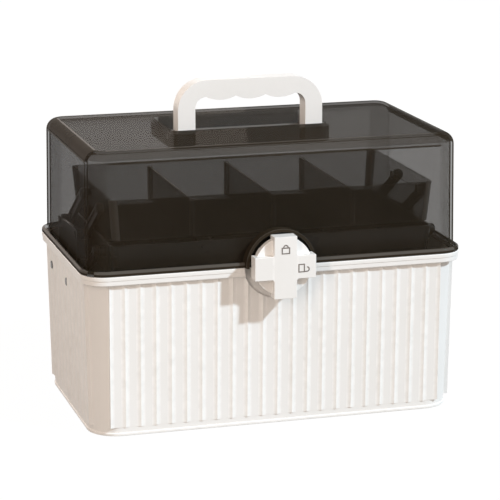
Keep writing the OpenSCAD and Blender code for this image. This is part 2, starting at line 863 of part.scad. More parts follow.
module lower_tray() {
    near = upper_arm_x - clear;
    color([0.13, 0.12, 0.12])
    difference() {
        union() {
            open_tray(lower_z0, lower_z1, divider_places(lower_dividers, lower_divider_pitch));
            both_sides() {
                cheek();
                // Bosses for the front, middle and rear pins
                bar_x(tray_boss_r, tray_w / 2 - tray_wall, lower_arm_x - clear, front_pivot_y, lower_pivot_z);
                for (y = [middle_pivot_y, rear_pivot_y])
                    bar_x(tray_boss_r, tray_w / 2 - tray_wall, near, y, lower_pivot_z);
                bar_x(tray_boss_r, upper_arm_x + arm_t + clear, cheek_x + sink, rear_pivot_y, lower_pivot_z);
            }
        }
        both_sides()
            for (y = [front_pivot_y, middle_pivot_y, rear_pivot_y])
                bar_x(pin_r - press, tray_w / 2 - tray_r, cheek_end + cut, y, lower_pivot_z);
    }
}

module upper_tray() {
    color([0.24, 0.22, 0.21, 0.6])
    difference() {
        union() {
            open_tray(upper_z0, upper_z1, divider_places(upper_dividers, upper_divider_pitch));
            both_sides()
                for (y = [upper_front_y, upper_rear_y])
                    bar_x(tray_boss_r, tray_w / 2 - tray_wall, upper_arm_x - clear, y, upper_pivot_z);
        }
        both_sides()
            for (y = [upper_front_y, upper_rear_y])
                bar_x(pin_r - press, tray_w / 2 - tray_r, upper_arm_x, y, upper_pivot_z);
    }
}

// One divider per compartment wall, shaped to the tray's leaning walls
module dividers(z0, z1, places) {
    bottom = z0 + tray_wall;
    top = z1 - divider_drop;
    in0 = tray_inset(bottom, z0, z1) + tray_wall + divider_fit;
    in1 = tray_inset(top, z0, z1) + tray_wall + divider_fit;
    for (x = places)
        slab_x(x - divider_t / 2, x + divider_t / 2)
            polygon([
                [tray_y0 + in0, bottom], [tray_y1 - in0, bottom],
                [tray_y1 - in1, top], [tray_y0 + in1, top]
            ]);
}

module lower_tray_dividers() {
    color([0.15, 0.14, 0.14])
        dividers(lower_z0, lower_z1, divider_places(lower_dividers, lower_divider_pitch));
}

module upper_tray_dividers() {
    color([0.24, 0.22, 0.21, 0.6])
        dividers(upper_z0, upper_z1, divider_places(upper_dividers, upper_divider_pitch));
}

// Stadium shape from the origin along x
module arm_outline(length, width) {
    translate([0, -width / 2])
        square([length, width]);
    for (x = [0, length])
        translate([x, 0])
            circle(width / 2);
}

// Arm of channel section on the right side: from its foot pivot it leans forward and up
module arm(length, angle, x, foot_y, foot_z) {
    translate([x, foot_y, foot_z])
        rotate([90, 0, 90])
            rotate([0, 0, 180 - angle])
                difference() {
                    linear_extrude(arm_t)
                        arm_outline(length, arm_w);
                    // The channel, which leaves the rims and the eyes standing
                    translate([0, 0, arm_t - channel_depth])
                        linear_extrude(channel_depth + cut)
                            difference() {
                                arm_outline(length, arm_w - 2 * channel_rim);
                                for (x = [0, length])
                                    translate([x, 0])
                                        circle(arm_w / 2 - thin);
                            }
                    for (x = [0, length])
                        translate([x, 0, -cut])
                            cylinder(r = pin_r + running, h = arm_t + 2 * cut);
                }
}

module lower_arm(left, foot_y) {
    color([0.17, 0.15, 0.14])
        one_side(left)
            arm(lower_arm_l, lower_arm_angle, lower_arm_x, foot_y, foot_pivot_z);
}

module upper_arm(left, foot_y) {
    color([0.17, 0.15, 0.14])
        one_side(left)
            arm(upper_arm_l, upper_arm_angle, upper_arm_x, foot_y, lower_pivot_z);
}

// Pin along x with an outer head and, where there is room, an inner one; the heads lie outside x0 and x1
module pin(x0, x1, y, z, inner_head = true) {
    bar_x(pin_r, x0 - thin, x1 + thin, y, z);
    bar_x(pin_head_r, x1, x1 + pin_head_t, y, z);
    if (inner_head)
        bar_x(pin_head_r, x0 - pin_head_t, x0, y, z);
}

// Inner face of a tray's side wall at height z
function tray_inner_x(z, z0, z1) = tray_w / 2 - tray_inset(z, z0, z1) - tray_wall;

module base_arm_pins() {
    color([0.35, 0.34, 0.34])
        both_sides()
            for (y = [foot_front_y, foot_rear_y])
                pin(lower_arm_x - face_gap, pin_seat_x, y, foot_pivot_z);
}

// Pins through the lower tray's wall, each up to x1
module lower_tray_pin_pair(x1, y, inner_head = true) {
    color([0.30, 0.29, 0.29])
        both_sides()
            pin(tray_inner_x(lower_pivot_z - pin_head_r, lower_z0, lower_z1), x1,
                y, lower_pivot_z, inner_head);
}

module lower_tray_front_pins() {
    lower_tray_pin_pair(lower_arm_x + arm_t + face_gap, front_pivot_y);
}

module lower_tray_middle_pins() {
    lower_tray_pin_pair(cheek_end, middle_pivot_y);
}

module lower_tray_rear_pins() {
    lower_tray_pin_pair(cheek_end, rear_pivot_y, inner_head = false);
}

module upper_tray_pins() {
    color([0.30, 0.29, 0.29])
        both_sides()
            for (y = [upper_front_y, upper_rear_y])
                pin(tray_inner_x(upper_pivot_z - pin_head_r, upper_z0, upper_z1),
                    upper_arm_x + arm_t + face_gap, y, upper_pivot_z);
}

base_bin();
lid_shell();
hinge_pin(-1);  // hinge_pin_left
hinge_pin(1);  // hinge_pin_right
handle();
latch_knob();
latch_screw();
closed_padlock_mark();
open_padlock_mark();
lower_tray();
lower_tray_dividers();
upper_tray();
upper_tray_dividers();
lower_arm(true, foot_front_y);  // lower_front_arm_left
lower_arm(false, foot_front_y);  // lower_front_arm_right
lower_arm(true, foot_rear_y);  // lower_rear_arm_left
lower_arm(false, foot_rear_y);  // lower_rear_arm_right
upper_arm(true, middle_pivot_y);  // upper_front_arm_left
upper_arm(false, middle_pivot_y);  // upper_front_arm_right
upper_arm(true, rear_pivot_y);  // upper_rear_arm_left
upper_arm(false, rear_pivot_y);  // upper_rear_arm_right
base_arm_pins();
lower_tray_front_pins();
lower_tray_middle_pins();
lower_tray_rear_pins();
upper_tray_pins();
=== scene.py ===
"""Folding storage box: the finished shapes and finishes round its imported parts.

A fluted bin, a smoked lid with a folding handle, a quarter-turn latch knob, and two trays on
swinging arms. Sizes are in metres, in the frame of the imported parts.
"""
import json
import math
from functools import cache

import bmesh
import bpy
from bpy.props import FloatProperty, FloatVectorProperty, IntProperty, PointerProperty
from bpy.types import Operator, Panel, PropertyGroup
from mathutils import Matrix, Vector


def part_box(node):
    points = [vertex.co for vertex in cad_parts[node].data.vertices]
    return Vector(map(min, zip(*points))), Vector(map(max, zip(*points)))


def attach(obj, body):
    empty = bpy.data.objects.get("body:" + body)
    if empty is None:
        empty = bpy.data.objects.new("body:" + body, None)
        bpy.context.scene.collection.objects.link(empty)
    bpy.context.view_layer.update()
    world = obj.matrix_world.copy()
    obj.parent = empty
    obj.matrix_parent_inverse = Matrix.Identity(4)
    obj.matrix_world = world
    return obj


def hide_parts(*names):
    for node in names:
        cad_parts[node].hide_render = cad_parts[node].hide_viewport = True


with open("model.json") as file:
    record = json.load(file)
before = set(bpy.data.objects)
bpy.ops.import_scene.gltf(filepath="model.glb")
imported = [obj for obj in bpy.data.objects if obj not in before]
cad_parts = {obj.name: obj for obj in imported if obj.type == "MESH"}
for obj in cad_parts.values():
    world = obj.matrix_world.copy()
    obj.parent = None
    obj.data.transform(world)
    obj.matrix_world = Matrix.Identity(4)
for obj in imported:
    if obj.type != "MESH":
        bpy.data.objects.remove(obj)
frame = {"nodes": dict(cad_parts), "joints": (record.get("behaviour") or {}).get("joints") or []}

bl_info = {
    "name": "Folding Storage Box",
    "version": (1, 0, 0),
    "blender": (4, 5, 0),
    "location": "3D View > Sidebar > Storage Box",
    "description": "Builds the shapes and finishes of a folding storage box round its packed parts",
    "category": "Add Mesh",
}

MM = 0.001  # also how far a cutting tool or a joined piece reaches past a face
NEAR = 0.00002  # two places this close are the same
PLAY = 0.05 * MM  # room round a pin that turns
FITTING_ROUND = 0.4 * MM  # rounding of the small moulded fittings
SLIGHT_ROUND = 0.3 * MM  # rounding of pins, studs and thin plates
GUSSET_OUT = 1.5 * MM  # how far the hinge gussets reach past the rim or the knuckle
GUSSET_IN = 0.8 * MM  # how far inside a knuckle's edge they end
SIDES = (-1, 1)
ALONG_X = (0, math.pi / 2, 0)
ALONG_Y = (math.pi / 2, 0, 0)
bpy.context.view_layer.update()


def joint_place(name):
    """The point that a joint turns about."""
    return Vector(next(joint["pos_m"] for joint in frame["joints"] if joint["name"] == name))


HINGE = joint_place("lid_hinge")
STUD = joint_place("handle_fold")
KNOB = joint_place("latch_turn")
RIM_HALF_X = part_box("lid_shell")[1].x
LID_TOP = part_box("lid_shell")[1].z
HANDLE_LOW, HANDLE_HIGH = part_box("handle")
KNOB_LOW, KNOB_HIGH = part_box("latch_knob")


def size(default, name, text, low=0.0):
    """A length property, with its default in millimetres."""
    return FloatProperty(
        name=name, description=text, default=default * MM, min=low, subtype="DISTANCE", unit="LENGTH")


def position(default, name, text):
    """A place along an axis, which may lie up to a metre behind its middle."""
    return size(default, name, text, low=-1.0)


def number(default, name, text, **limits):
    """A plain number."""
    return FloatProperty(name=name, description=text, default=default, **limits)


def degrees(default, name, text):
    """An angle, with its default in degrees."""
    return FloatProperty(name=name, description=text, default=math.radians(default), subtype="ANGLE")


def count(default, name, text, least):
    """A whole number."""
    return IntProperty(name=name, description=text, default=default, min=least)


def paint(default, name, text):
    """A colour property."""
    return FloatVectorProperty(
        name=name, description=text, default=default, size=3, min=0.0, max=1.0, subtype="COLOR")


class BinSizes(PropertyGroup):
    base_height: size(138, "Height", "Height of the bin up to the parting line")
    rim_half_depth: size(98, "Half depth", "Half the depth over the rim")
    rim_out: size(4.5, "Rim overhang", "How far the rim stands out from the walls")
    rim_height: size(7.8, "Rim height", "Height of the rim's two beads")
    bead_step: size(0.5, "Bead step", "How far the lower bead is set back")
    bead_round: size(0.9, "Bead rounding", "Rounding of the beads' edges")
    wall: size(2.5, "Wall", "Thickness of the walls")
    floor: size(3, "Floor", "Thickness of the floor")
    corner: size(25, "Corner radius", "Corner radius of the bin's walls")
    rim_corner: size(21, "Rim corner radius", "Corner radius of the rim and the flange")
    draft: size(2.6, "Draft", "How far each wall leans in from the rim to the foot")
    plinth_height: size(2.8, "Plinth height", "Height of the plinth")
    plinth_out: size(0.8, "Plinth overhang", "How far the plinth stands out")
    flute_foot: size(7.4, "Flute foot", "Height of the flutes' lower ends")
    flute_depth: size(0.9, "Flute depth", "Depth of a flute below the ridges")
    flute_flat: number(0.45, "Flute flat", "Share of a flute's width that is flat", min=0.0, max=0.9)
    flute_end_in: size(16.5, "Flute end", "Distance from the last ridge to the outside of the next wall")
    ridge_out: size(1.0, "Ridge height", "How far the ridges between the flutes stand out of the walls")
    ridge_width: size(0.4, "Ridge width", "Width of a ridge's crest")
    flutes_front: count(22, "Front flutes", "Flutes on the front and on the back", least=2)
    flutes_side: count(11, "Side flutes", "Flutes on each side", least=2)
    pin_seat: size(3.6, "Pin seat radius", "Radius of the sunk seats for the arm pins")
    pin_boss: size(6, "Pin boss radius", "Radius of the bosses for the arm pins inside")
    pin_boss_face: size(148.8, "Pin boss face", "Inner face of those bosses, from the middle")

    @property
    def rim_foot(self):
        """Height of the rim's lower edge."""
        return self.base_height - self.rim_height

    @property
    def half_wall(self):
        """Half width and half depth over the walls at the parting line."""
        return RIM_HALF_X - self.rim_out, self.rim_half_depth - self.rim_out


class LidSizes(PropertyGroup):
    flange: size(4.4, "Flange", "Thickness of the lid's flange")
    corner: size(16.5, "Corner radius", "Corner radius of the lid's walls")
    flange_round: size(2.2, "Flange rounding", "Rounding of the flange's upper edge")
    fillet: size(10, "Top rounding", "Rounding along the lid's top edges")
    draft: size(1.2, "Draft", "How far each wall leans in up to the top")
    recess_half_x: size(69, "Recess half width", "Half the width of the handle recess")
    recess_front: position(-13, "Recess front", "Front face of the handle recess")
    recess_back: position(56.6, "Recess back", "Rear face of the handle recess")
    recess_floor: size(226, "Recess floor", "Height of the recess's floor")
    recess_corner: size(5, "Recess corner", "Corner radius of the recess")
    recess_round: size(1.5, "Recess rounding", "Rounding round the recess's floor")
    stud_boss: size(5, "Stud boss radius", "Radius of the bosses that carry the handle")
    stud_boss_face: size(64.5, "Stud boss face", "Inner face of those bosses, from the middle")
    collar_inner: size(27.3, "Collar radius", "Inner radius of the half collar round the knob")
    collar_width: size(2.7, "Collar width", "Width of the half collar")
    collar_front: position(-102.5, "Collar front", "Front face of the half collar")
    catch_half_x: size(8, "Catch half width", "Half the width of the lid's catch")
    catch_foot: size(154.5, "Catch foot", "Underside of the catch")
    catch_height: size(6, "Catch height", "Height of the catch")
    catch_front: position(-100.2, "Catch front", "Front face of the catch")


class HandleSizes(PropertyGroup):
    leg: size(15.2, "Leg width", "Width of a leg")
    bar: size(17.4, "Bar height", "Height of the grip bar at its thickest")
    outer_round: size(26, "Outer radius", "Outer corner radius")
    inner_round: size(9.5, "Inner radius", "Inner corner radius")
    bump_radius: size(29.9, "Bump radius", "Radius of a finger bump")
    bump_pitch: size(26.3, "Bump pitch", "Spacing of the finger bumps")
    foot_round: size(7, "Foot radius", "Rounding of the legs' feet")
    edge_round: size(1.8, "Edge rounding", "Rounding of the long edges")
    stud: size(3, "Stud radius", "Radius of the studs that the handle turns on")
    bumps: count(3, "Finger bumps", "Number of finger bumps", least=1)


class KnobSizes(PropertyGroup):
    radius: size(24.7, "Radius", "Radius of the knob's disc")
    cross: size(19.5, "Arm width", "Width of the cross's arms")
    quadrant_depth: size(6, "Recess depth", "Depth of the four recesses beside the cross")
    quadrant_round: size(1.6, "Recess corner", "Corner radius of those recesses")
    edge_round: size(0.9, "Edge rounding", "Rounding of the knob's edges")
    spindle: size(5, "Spindle radius", "Radius of the spindle")
    cam_inner: size(21, "Cam radius", "Inner radius of the cam rib")
    cam_width: size(3, "Cam width", "Width of the cam rib")
    cam_back: position(-100.5, "Cam face", "Rear face of the cam rib")
    cam_angle: degrees(100, "Cam angle", "Angle that the cam rib covers")
    ring_inner: size(28.4, "Ring radius", "Inner radius of the bin's half ring")
    ring_width: size(2, "Ring width", "Width of the bin's half ring")
    ring_front: position(-106, "Ring front", "Front face of the half ring")
    ring_floor: position(-99.9, "Ring floor", "Face of the pocket behind the knob")
    hub: size(10, "Hub radius", "Radius of the hub on the bin")
    hub_front: position(-103, "Hub front", "Front face of the hub")
    hub_back: position(-98.4, "Hub back", "Rear face of the hub")
    head_seat: position(-100.6, "Head seat", "Seat of the screw's head")
    head_bore: size(7.2, "Head bore", "Radius of the room for the screw's head")


class HingeSizes(PropertyGroup):
    place: size(95, "Place", "Distance of each hinge from the middle")
    knuckle: size(4.5, "Knuckle radius", "Radius of the knuckles")
    room: size(5, "Knuckle room", "Radius of the room round the other half's knuckles")
    lid_half: size(6.4, "Lid knuckle", "Half the width of the lid's knuckle")
    ear_start: size(6.8, "Ear start", "Where the bin's ear starts, from the hinge's middle")
    ear_width: size(4.2, "Ear width", "Width of the bin's ear")
    pin: size(1.5, "Pin radius", "Radius of the hinge pins")
    gap: size(0.4, "Gap", "Gap between faces that pass each other")


class Finishes(PropertyGroup):
    shell: paint((0.86, 0.835, 0.81), "Shell", "Warm white of the bin, handle and knob")
    shell_shade: paint((0.835, 0.81, 0.78), "Shell mottle", "Second tone of the white")
    smoke: paint((0.029, 0.022, 0.014), "Smoke", "Body colour of the smoked lid")
    smoke_shade: paint((0.036, 0.027, 0.018), "Smoke mottle", "Second tone of the smoked lid")
    # painted highlight in the smoked plastic's rounded edges
    smoke_edge_highlight: paint((0.17, 0.155, 0.14), "Smoke edge", "Light that smoked plastic gathers in rounded edges")
    tray: paint((0.012, 0.0115, 0.011), "Tray black", "Colour of the trays")
    tray_shade: paint((0.018, 0.017, 0.016), "Tray mottle", "Second tone of the trays")
    arm: paint((0.030, 0.026, 0.022), "Arms", "Dark grey-brown of the arms")
    arm_shade: paint((0.040, 0.035, 0.030), "Arm mottle", "Second tone of the arms")
    print_ink: paint((0.19, 0.165, 0.15), "Print", "Grey of the two signs on the knob")
    steel: paint((0.60, 0.60, 0.62), "Steel", "Colour of the hinge pins and the screw")
    dark_steel: paint((0.12, 0.115, 0.11), "Dark steel", "Colour of the arm pins")
    lid_cover: number(0.37, "Lid cover", "Share of the light that a face of the lid stops")
    tray_cover: number(0.42, "Tray cover", "Share that a face of the upper tray stops")
    grazing_cover: number(0.95, "Grazing cover", "Share that a smoked face stops when seen edge on")


class StageSizes(PropertyGroup):
    azimuth: degrees(-16.3237, "Azimuth", "Camera's turn about the box, less than 0 at the left")
    elevation: degrees(13.6635, "Elevation", "Camera's angle above the floor")
    distance: size(1950.84, "Distance", "Camera's distance from its target")
    target_x: position(3.0, "Target x", "Target's place along x")
    target_z: size(128.206, "Target z", "Target's height")
    sensor: number(36.0, "Sensor", "Width of the camera's sensor, in millimetres")
    focal_share: number(4.48217, "Focal share", "Focal length as a share of the sensor's width")
    floor: size(12000, "Floor", "Width of the floor")
    floor_colour: paint((0.20, 0.185, 0.165), "Floor", "Colour that the floor throws back on the box")
    floor_glow: number(1.12, "Floor glow", "Strength of the white that is seen of the floor")
    floor_white: number(0.88, "Floor white", "Share of that white, beside the box's shadow")
    key_power: number(3.0, "Key light", "Strength of the key light")
    key_colour: paint((0.72, 0.88, 1.0), "Key colour", "Colour of the key light")
    key_spread: degrees(3, "Key spread", "Angle that the key light covers")
    sky_power: number(0.57, "Sky", "Strength of the light from all round")
    sky_colour: paint((1.0, 0.87, 0.77), "Sky colour", "Colour of the light from all round")
    fill_power: number(16.0, "Fill light", "Power of the tall fill light at the left")
    front_power: number(7.0, "Front light", "Power of the wide soft light in front")
    rear_power: number(22.0, "Rear light", "Power of the wide soft light behind")
    soft_colour: paint((1.0, 0.86, 0.76), "Soft colour", "Colour of the three soft lights")


class StorageBox(PropertyGroup):
    bin: PointerProperty(type=BinSizes)
    lid: PointerProperty(type=LidSizes)
    handle: PointerProperty(type=HandleSizes)
    knob: PointerProperty(type=KnobSizes)
    hinge: PointerProperty(type=HingeSizes)
    finish: PointerProperty(type=Finishes)
    stage: PointerProperty(type=StageSizes)


# Modelling steps that the pieces share


def activate(piece):
    """Makes a piece the only selected one."""
    if bpy.context.mode != "OBJECT":
        bpy.ops.object.mode_set(mode="OBJECT")
    bpy.ops.object.select_all(action="DESELECT")
    if piece:
        bpy.context.view_layer.objects.active = piece
        piece.select_set(True)


def open_mesh(piece):
    activate(piece)
    bpy.ops.object.mode_set(mode="EDIT")
    bpy.ops.mesh.select_all(action="SELECT")


def close_mesh():
    bpy.ops.object.mode_set(mode="OBJECT")


def close_solid():
    """Leaves edit mode with all faces pointing outwards."""
    bpy.ops.mesh.select_all(action="SELECT")
    bpy.ops.mesh.normals_make_consistent(inside=False)
    close_mesh()


def select(piece, kind, test):
    """In edit mode, selects only the vertices, edges or faces that pass the test."""
    bpy.ops.mesh.select_mode(type=kind)
    bpy.ops.mesh.select_all(action="DESELECT")
    mesh = bmesh.from_edit_mesh(piece.data)
    for part in {"VERT": mesh.verts, "EDGE": mesh.edges, "FACE": mesh.faces}[kind]:
        if test(part):
            part.select_set(True)
    mesh.select_flush_mode()
    bmesh.update_edit_mesh(piece.data)


def set_name(piece, name):
    piece.name = name
    piece.data.name = name
    bpy.ops.object.transform_apply(location=True, rotation=True, scale=True)
    return piece


def add_box(name, low, high):
    """A box between two corners."""
    activate(None)
    low, high = Vector(low), Vector(high)
    bpy.ops.mesh.primitive_cube_add(size=1, location=(low + high) / 2)
    bpy.context.object.scale = high - low
    return set_name(bpy.context.object, name)


def add_round(name, radius, start, end, turn=ALONG_X, steps=64):
    """A cylinder between two points on a line along x or y."""
    activate(None)
    start, end = Vector(start), Vector(end)
    bpy.ops.mesh.primitive_cylinder_add(
        vertices=steps, radius=radius, depth=(end - start).length, location=(start + end) / 2, rotation=turn)
    return set_name(bpy.context.object, name)


def cross_round(name, radius, start, end, axis, steps=40):
    """A cylinder along x between two distances, on an axis through a point."""
    return add_round(name, radius, (start, axis.y, axis.z), (end, axis.y, axis.z), steps=steps)


def knob_round(name, radius, front, back, steps=96):
    """A cylinder on the knob's axis between two distances along y."""
    return add_round(name, radius, (KNOB.x, front, KNOB.z), (KNOB.x, back, KNOB.z), ALONG_Y, steps)


def add_loft(name, levels, corner, middle_y=0.0, steps=10):
    """A solid with round corners; each level is a height, a half width and a half depth."""
    activate(None)
    (low, half_x, half_y), *upper = levels
    bpy.ops.mesh.primitive_plane_add(size=2, location=(0, middle_y, low))
    piece = bpy.context.object
    piece.scale = (half_x, half_y, 1)
    set_name(piece, name)
    open_mesh(piece)
    bpy.ops.mesh.bevel(offset=corner, offset_type="OFFSET", segments=steps, profile=0.5, affect="VERTICES")
    bpy.ops.mesh.select_all(action="SELECT")
    for high, next_x, next_y in upper:
        bpy.ops.mesh.extrude_region_move(TRANSFORM_OT_translate={"value": (0, 0, high - low)})
        bpy.ops.transform.resize(
            value=(next_x / half_x, next_y / half_y, 1), center_override=(0, middle_y, 0))
        low, half_x, half_y = high, next_x, next_y
    close_solid()
    return piece


def add_slab(name, low, high, half_x, half_y, corner, middle_y=0.0, steps=10):
    """A straight solid with round corners, between two heights."""
    return add_loft(name, [(low, half_x, half_y), (high, half_x, half_y)], corner, middle_y, steps)


def add_prism(name, outline, sweep):
    """A solid that an outline's points sweep along a vector."""
    activate(None)
    bpy.ops.mesh.primitive_circle_add(vertices=len(outline), radius=1, fill_type="NGON")
    piece = set_name(bpy.context.object, name)
    for vertex, point in zip(piece.data.vertices, outline):
        vertex.co = point
    open_mesh(piece)
    bpy.ops.mesh.extrude_region_move(TRANSFORM_OT_translate={"value": sweep})
    close_solid()
    return piece


def turned_copy(piece, name, angle):
    """A copy of a piece, with its own mesh, turned about the box's middle."""
    activate(piece)
    bpy.ops.object.duplicate()
    twin = bpy.context.object
    twin.rotation_euler.z = angle
    return set_name(twin, name)


def apply_modifier(piece, kind, **settings):
    activate(piece)
    modifier = piece.modifiers.new(kind.lower(), kind)
    for key, value in settings.items():
        setattr(modifier, key, value)
    bpy.ops.object.modifier_apply(modifier=modifier.name)
    return piece


def combine(piece, tool, operation="UNION"):
    """Adds a second solid to a piece or takes it away."""
    apply_modifier(piece, "BOOLEAN", operation=operation, solver="EXACT", object=tool)
    bpy.data.objects.remove(tool, do_unlink=True)
    return piece


def take_away(piece, tool):
    return combine(piece, tool, "DIFFERENCE")


def soften(piece, width, segments=2, angle=40):
    """Rounds every edge that turns by more than the angle."""
    return apply_modifier(
        piece, "BEVEL", width=width, segments=segments, limit_method="ANGLE", angle_limit=math.radians(angle),
        harden_normals=False, miter_outer="MITER_ARC")


def bevel_edges(piece, test, width, segments):
    """Rounds the edges that pass the test."""
    open_mesh(piece)
    select(piece, "EDGE", test)
    bpy.ops.mesh.bevel(
        offset=width, offset_type="OFFSET", segments=segments, profile=0.5, affect="EDGES",
        clamp_overlap=False)
    close_mesh()
    return piece


def at_height(height, across=None):
    """A test for edges at one height, and across an axis (0 for x, 1 for y) if one is given."""
    def test(edge):
        first, second = (vertex.co for vertex in edge.verts)
        return max(abs(first.z - height), abs(second.z - height)) < NEAR and (
            across is None or abs(first[across] - second[across]) < NEAR)
    return test


def keep_side(piece, place, direction):
    """Cuts off, and closes, what lies beyond a plane."""
    open_mesh(piece)
    bpy.ops.mesh.bisect(plane_co=place, plane_no=direction, use_fill=True, clear_outer=True)
    close_mesh()
    return piece


def copied(node, name):
    """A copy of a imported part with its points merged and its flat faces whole."""
    piece = bpy.data.objects.new(name, frame["nodes"][node].data.copy())
    piece.data.name = name
    bpy.context.scene.collection.objects.link(piece)
    piece.data.materials.clear()
    activate(piece)
    bpy.ops.mesh.customdata_custom_splitnormals_clear()
    open_mesh(piece)
    bpy.ops.mesh.remove_doubles(threshold=NEAR / 2)
    bpy.ops.mesh.mark_sharp(clear=True)
    bpy.ops.mesh.dissolve_limited(angle_limit=math.radians(0.4))
    close_mesh()
    return piece


def mark_rounded_faces(piece):
    """Stores 1 on the narrow faces of rounded edges and 0 on the others, for the finishes."""
    narrow = 1.2 * MM
    least_turn, most_turn = math.radians(6), math.radians(50)
    mesh = bmesh.new()
    mesh.from_mesh(piece.data)
    layer = mesh.faces.layers.float.new("rounded")
    for face in mesh.faces:
        longest = max(edge.calc_length() for edge in face.edges)
        turns = [edge.calc_face_angle(0) for edge in face.edges if edge.is_manifold]
        curved = any(least_turn < turn < most_turn for turn in turns)
        face[layer] = 1.0 if curved and face.calc_area() < narrow * longest else 0.0
    mesh.to_mesh(piece.data)
    mesh.free()


def coat(piece, slot):
    """Gives a piece the finish of a slot."""
    piece.data.materials.clear()
    piece.data.materials.append(finish_of(slot))


def finish_piece(piece, body, slot, *nodes, angle=32):
    """Shades a piece, gives it its finish, and lets it ride and stand for its nodes."""
    mark_rounded_faces(piece)
    activate(piece)
    bpy.ops.object.shade_smooth_by_angle(angle=math.radians(angle))
    apply_modifier(piece, "WEIGHTED_NORMAL", mode="FACE_AREA", weight=50, keep_sharp=True)
    coat(piece, slot)
    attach(piece, body)
    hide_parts(*nodes)
    return piece


def soft_copy(node, name, body, slot, width, segments=2):
    """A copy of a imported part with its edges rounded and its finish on."""
    return finish_piece(soften(copied(node, name), width, segments), body, slot, node)


# Finishes

NOISE_MIDDLE = 0.5  # a noise's middle value
EDGE_POLISH = 0.12  # how much smoother a worn edge is
EDGE_COVER = 0.85  # how much light a rounded edge of smoked plastic stops, so that its painted highlight shows
GRAZING_POWER = 8.0  # how steeply the smoke darkens when it is seen edge on


def set_inputs(tree, node, inputs):
    """Sets a node's inputs to values, or links them to other nodes' sockets."""
    for key, value in inputs.items():
        if isinstance(value, bpy.types.NodeSocket):
            tree.links.new(value, node.inputs[key])
        else:
            node.inputs[key].default_value = value
    return node


def add_node(tree, kind, inputs, **settings):
    """A shader node with its settings and its inputs."""
    node = tree.nodes.new(f"ShaderNode{kind}")
    for key, value in settings.items():
        setattr(node, key, value)
    return set_inputs(tree, node, inputs)


def noise(tree, place, scale, detail=2.0, roughness=0.5):
    return add_node(tree, "TexNoise", {
        "Vector": place, "Scale": scale, "Detail": detail, "Roughness": roughness}).outputs["Fac"]


def math_node(tree, operation, first, second=0.0, clamp=False):
    return add_node(tree, "Math", {0: first, 1: second}, operation=operation, use_clamp=clamp).outputs[0]


def stretch(tree, value, low=0.0, high=1.0, to_low=0.0, to_high=1.0):
    """A value between two ends, stretched between two others."""
    return add_node(tree, "MapRange", {
        "Value": value, "From Min": low, "From Max": high, "To Min": to_low, "To Max": to_high}).outputs[0]


def mix_colour(tree, share, first, second):
    return add_node(tree, "Mix", {"Factor": share, 6: first, 7: second}, data_type="RGBA").outputs[2]


def face_value(tree, name):
    """What a piece's faces store under a name."""
    return add_node(tree, "Attribute", {}, attribute_name=name).outputs["Fac"]


def new_group(name, inputs, outputs):
    """An empty shader group; returns it, its named input values and its end node."""
    group = bpy.data.node_groups.new(name, "ShaderNodeTree")
    for side, sockets in (("INPUT", inputs), ("OUTPUT", outputs)):
        for label, kind in sockets.items():
            group.interface.new_socket(name=label, in_out=side, socket_type=f"NodeSocket{kind}")
    return group, group.nodes.new("NodeGroupInput").outputs, group.nodes.new("NodeGroupOutput")


@cache
def moulded_grain():
    """Moulded plastic: a cloudy second tone, uneven polish and the mould's fine grain."""
    group, start, end = new_group(
        "moulded_grain",
        {"Coordinates": "Vector", "Colour": "Color", "Second Tone": "Color", "Roughness": "Float",
         "Unevenness": "Float", "Grain Scale": "Float"},
        {"Colour": "Color", "Roughness": "Float", "Height": "Float"})
    place = start["Coordinates"]
    clouds = noise(group, place, scale=14.0, detail=4.0, roughness=0.6)
    share = stretch(group, clouds, low=0.38, high=0.66)
    swing = math_node(group, "SUBTRACT", noise(group, place, scale=70.0, detail=3.0), NOISE_MIDDLE)
    uneven = math_node(group, "MULTIPLY", swing, start["Unevenness"])
    set_inputs(group, end, {
        "Colour": mix_colour(group, share, start["Colour"], start["Second Tone"]),
        "Roughness": math_node(group, "ADD", uneven, start["Roughness"], clamp=True),
        "Height": noise(group, place, scale=start["Grain Scale"], detail=3.0, roughness=0.65)})
    return group


@cache
def worn_and_highlit_edges():
    """Rounded edges, painted a little paler in patches as a highlight, and left smoother by handling."""
    group, start, end = new_group(
        "worn_and_highlit_edges",
        {"Coordinates": "Vector", "Rounded": "Float", "Colour": "Color", "Highlight Colour": "Color",
         "Roughness": "Float", "Amount": "Float"},
        {"Colour": "Color", "Roughness": "Float"})
    patches = noise(group, start["Coordinates"], scale=120.0, detail=3.0, roughness=0.6)
    worn_highlight = math_node(group, "MULTIPLY", stretch(group, patches, low=0.3, high=0.6), start["Rounded"])
    # the paler colour on these patches is a painted highlight; the smoother polish is wear
    share = math_node(group, "MULTIPLY", worn_highlight, start["Amount"], clamp=True)
    drop = math_node(group, "MULTIPLY", share, EDGE_POLISH)
    set_inputs(group, end, {
        "Colour": mix_colour(group, share, start["Colour"], start["Highlight Colour"]),
        "Roughness": math_node(group, "SUBTRACT", start["Roughness"], drop, clamp=True)})
    return group


@cache
def hairlines():
    """Hair scratches that cleaning leaves on polished plastic."""
    group, start, end = new_group(
        "hairlines", {"Coordinates": "Vector", "Width": "Float"}, {"Mask": "Float"})
    lines = None
    for turn, scales in ((0.4, (900.0, 900.0, 30.0)), (1.9, (40.0, 1100.0, 700.0))):
        mapping = add_node(group, "Mapping", {
            "Vector": start["Coordinates"], "Rotation": (turn, turn / 3, turn / 2), "Scale": scales})
        ripple = noise(group, mapping.outputs[0], scale=0.8)
        gap = math_node(group, "ABSOLUTE", math_node(group, "SUBTRACT", ripple, NOISE_MIDDLE))
        line = math_node(group, "LESS_THAN", gap, start["Width"])
        lines = line if lines is None else math_node(group, "MAXIMUM", lines, line)
    set_inputs(group, end, {"Mask": lines})
    return group


def opaque(colour, share=1.0):
    """A colour made lighter or darker by a share, with full cover."""
    return (*(min(1.0, share * part) for part in colour), 1.0)


